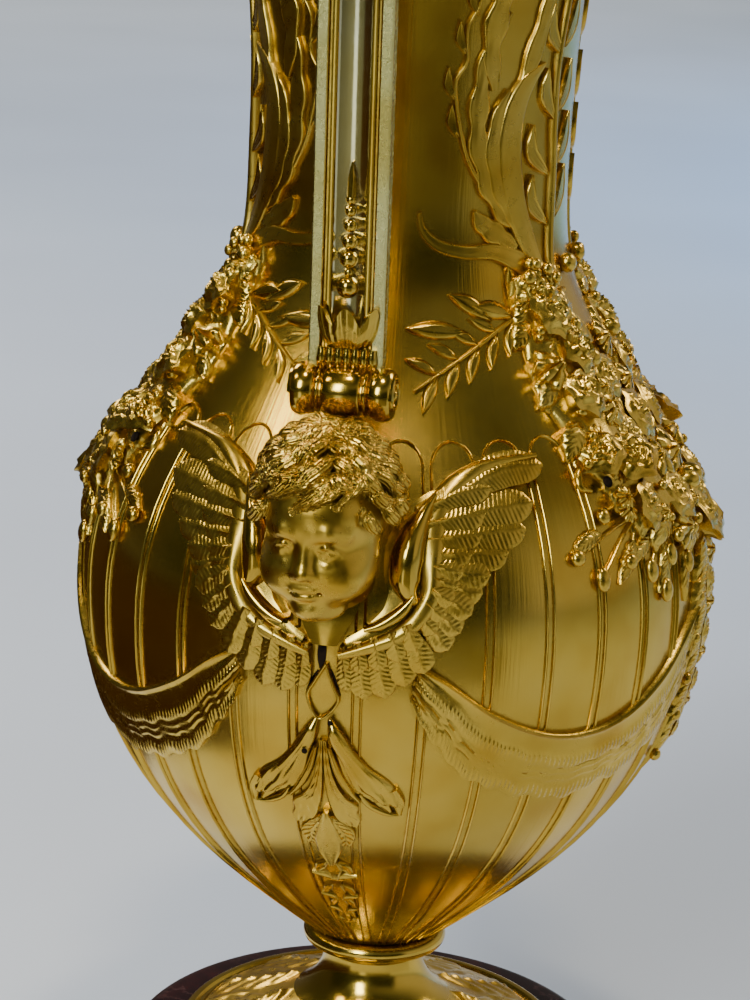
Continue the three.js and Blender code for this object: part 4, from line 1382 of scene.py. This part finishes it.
def neck_quarter(piece, side):
    tendril = [
        (37, 271), (29.5, 280), (25.5, 290), (24, 298), (27.4, 303), (27, 311), (30.5, 317), (30, 326)
    ]
    stem(piece, tendril, 0.9, 1.3, side)
    for phi, z, angle in ((25.8, 289, -1), (24, 298, -1), (27, 309, -1), (30.5, 318, -1)):
        lobe(
            piece, [(phi, z - 4), (phi + 2.2 * angle, z - 1), (phi + 2.6 * angle, z + 3.5)],
            widths(0.5, 1.3, 0.3), 1.2, side, 0.4, 22, 9
        )
    crown = [(38, 296), (36, 306), (38.5, 317), (43, 327), (46, 338), (44, 347)]
    frond(piece, crown, widths(1.4, 3.0, 3.4, 3.0, 2.2, 0.4), 1.4, side, 0.34, 5)
    left = [
        (57, 256), (51, 262.6), (42.5, 268.5), (36.8, 275.5), (33.4, 283.5), (32.8, 292), (34, 301),
        (37, 309), (42.5, 314.5)
    ]
    frond(piece, left, widths(2.2, 3.2, 3.4, 3.2, 3.0, 2.8, 2.4, 1.8, 0.4), 1.6, side, 0.36, 7)
    middle = [(54, 259.5), (46.5, 267), (41, 275), (39, 283), (40.5, 291), (44, 296)]
    frond(piece, middle, widths(1.4, 2.4, 2.8, 2.6, 1.9, 0.4), 2.0, side, 0.2, 4)
    main = [
        (59, 252.5), (54.2, 259.5), (49.5, 267), (46.4, 275.5), (45.4, 284), (47, 291.5), (51.5, 297.5),
        (59, 302)
    ]
    frond(piece, main, widths(2.0, 2.8, 3.2, 3.4, 3.4, 3.0, 2.2, 0.4), 2.2, side)
    tip = [(47, 288), (51.5, 300), (57, 311), (61, 323), (60, 334)]
    frond(piece, tip, widths(0.8, 2.4, 2.8, 2.2, 0.4), 1.3, side, 0.24, 4)
    hook = [(60, 249.5), (51, 254), (41, 256.8), (30, 257), (20.5, 258.8), (15.2, 262.6), (14.2, 266.4)]
    frond(piece, hook, widths(3.6, 3.0, 2.3, 1.8, 1.6, 1.3, 0.5), 1.7, side)
    shell = [(50, 257.5), (43.5, 260.5), (37, 263.5), (33.4, 266.8)]
    frond(piece, shell, widths(1.0, 2.8, 3.2, 0.8), 1.5, side, 0.25, 3)
    stalk = [(67.5, 247), (69.6, 262), (69.6, 276), (68, 288), (67.5, 302), (70, 318), (72, 336)]
    stem(piece, stalk, 1.5, 1.6, side, 80)
    pairs = [
        (58.2, 268.7, 66), (57, 281, 65.5), (62.5, 294.5, 67), (76.5, 270, 71), (77.5, 283, 70.5),
        (75.5, 296, 69), (62.5, 310, 69), (76, 312, 70), (65.5, 324, 71), (78, 327, 71.5)
    ]
    for phi, z, root in pairs:
        aside = -1 if phi < root else 1
        ends = [(root, z - 6.5), (phi + 0.3 * aside, z - 1), (phi + 1.2 * aside, z + 6.2)]
        lobe(piece, ends, widths(0.4, 1.6, 2.2, 1.7, 0.3), 1.0, side, 0.3, 24, 11)
    lobe(piece, [(72, 330), (72, 338), (72, 348)], widths(0.6, 2.4, 2.2, 0.3), 1.4, side)
    pea(piece, side * 60, 250, 0.4, (3.4, 4.2, 2.6), EDGE, 14, 20)


def shoulder_quarter(piece, side):
    stem(piece, [(50, 242), (40, 238.5), (30, 234), (21, 229.5), (14, 225.5)], 0.8, 1.0, side)
    plain_leaf(piece, (46, 241), (32, 244), 2.4, 1.3, side, 1.0)
    plain_leaf(piece, (38, 240.5), (24.5, 247), 2.3, 1.2, side, 1.0)
    plain_leaf(piece, (30, 238), (11, 239), 2.4, 1.2, side, 0.8)
    for i in range(5):
        p = spline([(46, 240.5), (30, 234), (14, 225.5)], 6)[i]
        plain_leaf(piece, p, (p[0] - 9, p[1] + 3.5), 1.6, 1.0, side, 0.6)
        plain_leaf(piece, p, (p[0] - 4, p[1] - 8), 1.6, 1.0, side, -0.6)
    plain_leaf(piece, (52, 244), (46, 253), 2.6, 1.4, side, 0.6)


def leaves():
    piece = Piece()
    for side in (-1, 1):
        neck_quarter(piece, side)
        shoulder_quarter(piece, side)
    piece.join(piece.twin())
    return piece.make("neck_leaves_gilt", [SATIN, SOFT, CHASED], "gilt", sharp=60)


# Strap handles


FRONT = (0, -1, 0)


def strap_bar(piece, path):
    """A moulded bar with ridged sides, two raised edges and a hollow channel between them."""
    turn = tangents(path)
    out = np.stack([turn[:, 1], -turn[:, 0]], -1)
    t, half = 2.5, 8.85
    ridge = [
        (half - 0.35, -t), (half, -t + 0.35), (half, -1.0), (half - 0.5, -0.7), (half, -0.4),
        (half, t - 0.4), (half - 0.4, t)
    ]
    face = [
        (6.3, t), (5.95, t - 0.25), (5.75, t - 1.0), (5.35, t - 1.0), (5.2, t - 0.3), (4.6, t - 0.15),
        (4.0, t - 0.3), (3.8, t - 0.7)
    ]
    channel = [(x, t - 0.8 - 1.1 * (1 - (x / 3.8) ** 2)) for x in np.linspace(3.5, -3.5, 15)]
    right = ridge + face
    left = [(-x, y) for x, y in right[::-1]]

    def sweep(section):
        s = np.array(section)
        rho = path[:, :1] + out[:, :1] * s[:, 1]
        z = path[:, 1:] + out[:, 1:] * s[:, 1]
        return np.stack([np.broadcast_to(s[:, 0], rho.shape), -rho, z], -1)

    hollow = right[-1:] + channel + left[:1]
    strips = [(right[:8], STRAP), (right[7:], EDGE), (hollow, EXTRA), (left[:8], EDGE), (left[7:], STRAP)]
    for section, mat in strips + [(left[-1:] + right[:1], STRAP)]:
        piece.grid(sweep(section)[:, ::-1], mat=mat)
    whole = sweep(right + channel + left)
    for loop in (whole[0], whole[-1]):
        piece.grid(np.stack([loop, loop * 0 + loop.mean(0)], 0), True, STRAP)


def bead_row(piece, path):
    """Beads that dwindle up the channel, with a spike above them."""
    beads = (
        (253.9, 2.65), (257.3, 1.2), (260.5, 2.2), (264.5, 1.85), (268.3, 1.6), (271.7, 1.4), (274.4, 1.25)
    )
    for z, size in beads:
        rho = float(np.interp(z, path[:60, 1], path[:60, 0]))
        ball(piece, (0, -(rho + 0.9 + 0.5 * size), z), (size, size, size), EDGE, 14, 20)
    spike = [(0, -73.2, 275), (0, -73.5, 279), (0, -73.8, 283)]
    leaf3d(
        piece, spike, FRONT, widths(1.1, 0.9, 0.1), lambda t, w: 0.2 + 1.2 * (1 - w * w) * (1 - t), 12, 9,
        EDGE
    )


def calyx(piece):
    """A pleated cup at the foot of the channel, over a row of tongues."""
    mid_x, mid_y, low, high = 0.5, -71.8, 239.2, 245
    rows, columns = 22, 73
    around = np.radians(np.linspace(-96, 96, columns))[None, :]
    rise = np.linspace(0, 1, rows)[:, None]
    leaf = np.abs(np.cos(np.pi * around / math.radians(56)))
    cup = np.interp(rise, [0, 0.08, 0.3, 0.65, 1], [2.2, 4.6, 6.1, 7.1, 7.5])
    cup = cup + rise * (0.9 * leaf**0.6 - 0.5) + 0.35 * rise * bump(leaf, 1, 0.06)
    brim = high + 4.5 * leaf**1.4
    x, y = mid_x + cup * np.sin(around), mid_y - 0.62 * cup * np.cos(around)
    points = np.stack([x, y, low + (brim - low) * rise], -1)
    fold = np.stack(
        [mid_x + 0.82 * (x[-1] - mid_x), mid_y + 0.8 * (y[-1] - mid_y), points[-1, :, 2] - 0.5], -1
    )
    lines = np.stack([np.tile(9 * around / math.pi, (rows + 1, 1)), np.full((rows + 1, columns), 0.5)], -1)
    piece.grid(np.concatenate([points, fold[None]]), mat=WORK, out=FRONT, lines=lines)
    for i in range(7):
        x = -5.5 + 12 * i / 6
        tongue = [(x, -71.6, 233.6), (x, -72.9, 236.6), (x, -72.5, 239.6)]
        leaf3d(piece, tongue, FRONT, widths(1.05, 1.2, 1.0), half_round(0.3, 1.1), 12, 9, EDGE)


def round_roll(x, r, a):
    """Points at radius r and angle a round the roll's own axis."""
    return np.stack(np.broadcast_arrays(x, -ROLL_Y - r * np.cos(a), ROLL_Z + r * np.sin(a)), -1)


def scroll_roll(piece):
    """The roll across the foot of the strap, swelled in rings, with a spiral on each end."""
    core, full, fillet = 4.9, 6.4, 5.6
    x = np.linspace(-ROLL_LENGTH / 2, ROLL_LENGTH / 2, 110)
    r = np.full(110, core)
    for c, h, top in (
        (-9.2, 2.8, full), (0, 4.6, full), (9.2, 2.8, full), (-5.6, 0.55, fillet), (5.6, 0.55, fillet)
    ):
        r = np.maximum(r, core + (top - core) * np.sqrt(np.clip(1 - ((x - c) / h) ** 2, 0, 1)))
    r[[0, -1]] = 0.3
    piece.grid(round_roll(x[:, None], r[:, None], circle(48)), True, EDGE)
    spiral, ring = np.linspace(0, 4.2 * np.pi, 60)[:, None], circle(8)
    wire = 0.75 * (1 - 0.5 * spiral / spiral[-1])
    reach = 5.0 * (1 - spiral / (4.7 * np.pi)) + wire * np.cos(ring)
    for s in (-1, 1):
        tube = round_roll(s * (ROLL_LENGTH / 2 + wire * np.sin(ring) - 0.15), reach, spiral)
        piece.grid(tube if s < 0 else tube[:, ::-1], True, EDGE)
        ball(piece, (s * ROLL_LENGTH / 2, -ROLL_Y, ROLL_Z), (0.8, 1.2, 1.2), EDGE, 10, 14)


def handle():
    piece = Piece()
    path = joined_curve(
        bezier([(70, ROLL_Z + 4), (70, 262), (74, 300), (75, 326)], 60),
        bezier([(75, 326), (76, 348), (60, 362), (46.6, 351.6)], 50),
    )
    strap_bar(piece, path)
    bead_row(piece, path)
    calyx(piece)
    scroll_roll(piece)
    return piece


# Studio: a pale floor, a dim room for the gilding to reflect, cards and lamps


def world():
    """A room that is dark on the viewer's side and above, and paler to the right."""
    made = bpy.data.worlds.new("studio")
    bpy.context.scene.world = made
    made.use_nodes = True
    tree = made.node_tree
    place = node(tree, "TexCoord").outputs["Generated"]

    def towards(axis, a, b):
        dot = node(tree, "VectorMath", operation="DOT_PRODUCT")
        dot.inputs[1].default_value = Vector(axis).normalized()
        feed(tree, dot.inputs[0], place)
        step = node(tree, "MapRange", interpolation_type="SMOOTHSTEP")
        step.inputs["From Min"].default_value, step.inputs["From Max"].default_value = a, b
        feed(tree, step.inputs["Value"], dot.outputs["Value"])
        return step.outputs[0]

    left, right = (0.07, 0.064, 0.048, 1), (0.6, 0.57, 0.54, 1)
    ceiling, viewer = (0.052, 0.062, 0.044, 1), (0.033, 0.038, 0.023, 1)
    wall = mix(tree, towards((1, 0.1, 0), -0.8, 0.9), left, right)
    room = mix(tree, towards((0, 0, 1), 0.2, 0.8), wall, ceiling)
    behind, low_down = towards((-0.19, -0.98, 0), 0.2, 0.42), towards((0, 0, -1), -0.62, -0.3)
    near = maths(tree, "MULTIPLY", behind, low_down)
    back = tree.nodes["Background"]
    feed(tree, back.inputs["Color"], mix(tree, near, room, viewer))
    back.inputs["Strength"].default_value = 0.8


def lamp(name, place, target, size, power, colour, mirrored=True, spread=True):
    """A soft lamp; unmirrored ones light only the floor, unspread ones show only in the gilding."""
    light = bpy.data.lights.new(name, "AREA")
    light.shape, light.size, light.size_y = "RECTANGLE", size[0], size[1]
    light.energy, light.color = power, colour
    made = bpy.data.objects.new(name, light)
    made.location = place
    made.rotation_euler = (Vector(target) - Vector(place)).to_track_quat("-Z", "Y").to_euler()
    made.visible_camera, made.visible_glossy, made.visible_diffuse = False, mirrored, spread
    bpy.context.scene.collection.objects.link(made)


def stage_piece(name, points, faces, material):
    mesh = bpy.data.meshes.new(name)
    mesh.from_pydata(points, [], faces)
    mesh.materials.append(material)
    made = bpy.data.objects.new(name, mesh)
    bpy.context.scene.collection.objects.link(made)
    return made


def floor():
    s = 6.0
    tone = cloudy("pale_floor", 3.0, 2.0, (0.56, 0.58, 0.61), (0.62, 0.64, 0.67), 0.6)
    stage_piece("floor", [(-s, -s, 0), (s, -s, 0), (s, s, 0), (-s, s, 0)], [(0, 1, 2, 3)], tone)


def card(name, first, last, near, far, colour):
    """A card on the floor, seen only in reflections, over a sector in degrees from the front."""
    steps = 40
    a = np.radians(np.linspace(first, last, steps))
    ring = [(r * math.sin(x), -r * math.cos(x), 0.0015) for r in (near, far) for x in a]
    faces = [(i, i + steps, i + steps + 1, i + 1) for i in range(steps - 1)]
    tone = cloudy(name, 4.0, 2.0, tuple(0.8 * c for c in colour), colour, 0.9, 0.0)
    made = stage_piece(name, ring, faces, tone)
    made.visible_camera = made.visible_diffuse = False
    made.visible_shadow = made.visible_transmission = False


def camera():
    """The photograph's view: right of the front handle, looking down, with a little roll."""
    az, down, roll = math.radians(10.5), math.radians(15.5), math.radians(2.76)
    away, high, shift = 0.7503, 0.3916, 0.0201
    focal, image_height, sensor = 3000, 1000, 36.0
    place = Vector((math.sin(az) * away, -math.cos(az) * away, high))
    flat = math.cos(down)
    ahead = Vector((-math.sin(az) * flat, math.cos(az) * flat, -math.sin(down)))
    right = Vector((math.cos(az), math.sin(az), 0))
    up = right.cross(ahead)
    r = math.cos(roll) * right + math.sin(roll) * up
    u = math.cos(roll) * up - math.sin(roll) * right
    data = bpy.data.cameras.new("camera")
    data.sensor_fit, data.sensor_height, data.sensor_width = "VERTICAL", sensor, sensor
    data.lens = focal / image_height * sensor
    data.shift_x, data.shift_y = -shift * math.cos(roll), shift * math.sin(roll)
    data.clip_start = 0.01
    made = bpy.data.objects.new("camera", data)
    m = made.matrix_world
    for i in range(3):
        m[i][0], m[i][1], m[i][2], m[i][3] = r[i], u[i], -ahead[i], place[i]
    made.matrix_world = m
    bpy.context.scene.collection.objects.link(made)
    bpy.context.scene.camera = made


plinth()
foot()
vase()
swags()
drop()
garlands()
leaves()
mount = cherub()
mount.make("cherub_front_gilt", GOLD + [SOFT], "gilt", ["cherub_front"], 60)
mount.twin().make("cherub_back_gilt", GOLD + [SOFT], "gilt", ["cherub_back"], 60)
strap = handle()
strap.make("handle_front_gilt", GOLD + [PALE], "gilt", ["handle_front"], 40)
strap.twin().make("handle_back_gilt", GOLD + [PALE], "gilt", ["handle_back"], 40)
floor()
card("flag_front_left", -40, -17, 0.42, 3.5, (0.09, 0.085, 0.05))
card("flag_front_right", -4, 50, 0.42, 3.5, (0.16, 0.15, 0.095))
card("flag_left", -168, -40, 0.19, 2.6, (0.035, 0.017, 0.005))
card("flag_near", -40, 100, 0.085, 0.42, (0.55, 0.55, 0.54))
world()
lamp("window", (-0.52, -1.93, 1.2), (0, 0, 0.2), (0.5, 1.0), 30, (0.85, 0.93, 1.0))
lamp("table_soft", (-1.2, 0.55, 1.15), (0.05, 0, 0), (0.7, 0.7), 17, (1.0, 0.99, 0.97), False)
lamp("front_soft", (-0.55, -1.2, 1.0), (0.05, 0, 0), (0.35, 0.35), 13, (1.0, 0.99, 0.97), False)
lamp("wall_soft", (-1.2, 2.8, 2.2), (-1.0, 2.7, 0), (2.0, 2.0), 58, (0.98, 1.0, 0.99), False)
lamp("sky_soft", (0.75, 1.7, 0.9), (0.6, 1.7, 0), (0.5, 0.5), 20, (0.0, 0.36, 1.0), False)
lamp("left_top", (-0.9, -0.5, 1.3), (0, 0, 0.2), (0.25, 0.25), 3.2, (1.0, 0.88, 0.6), True, False)
lamp("back_left", (-0.9, 0.9, 1.2), (0, 0, 0.2), (0.45, 0.45), 8.5, (1.0, 0.88, 0.66), True, False)
lamp("back_right", (0.9, 0.9, 1.2), (0, 0, 0.2), (0.45, 0.45), 6.5, (1.0, 0.88, 0.66), True, False)
lamp("ceiling_spot", (0.15, -0.5, 1.7), (0, 0, 0.2), (0.13, 0.13), 9, (1.0, 0.86, 0.62))
camera()
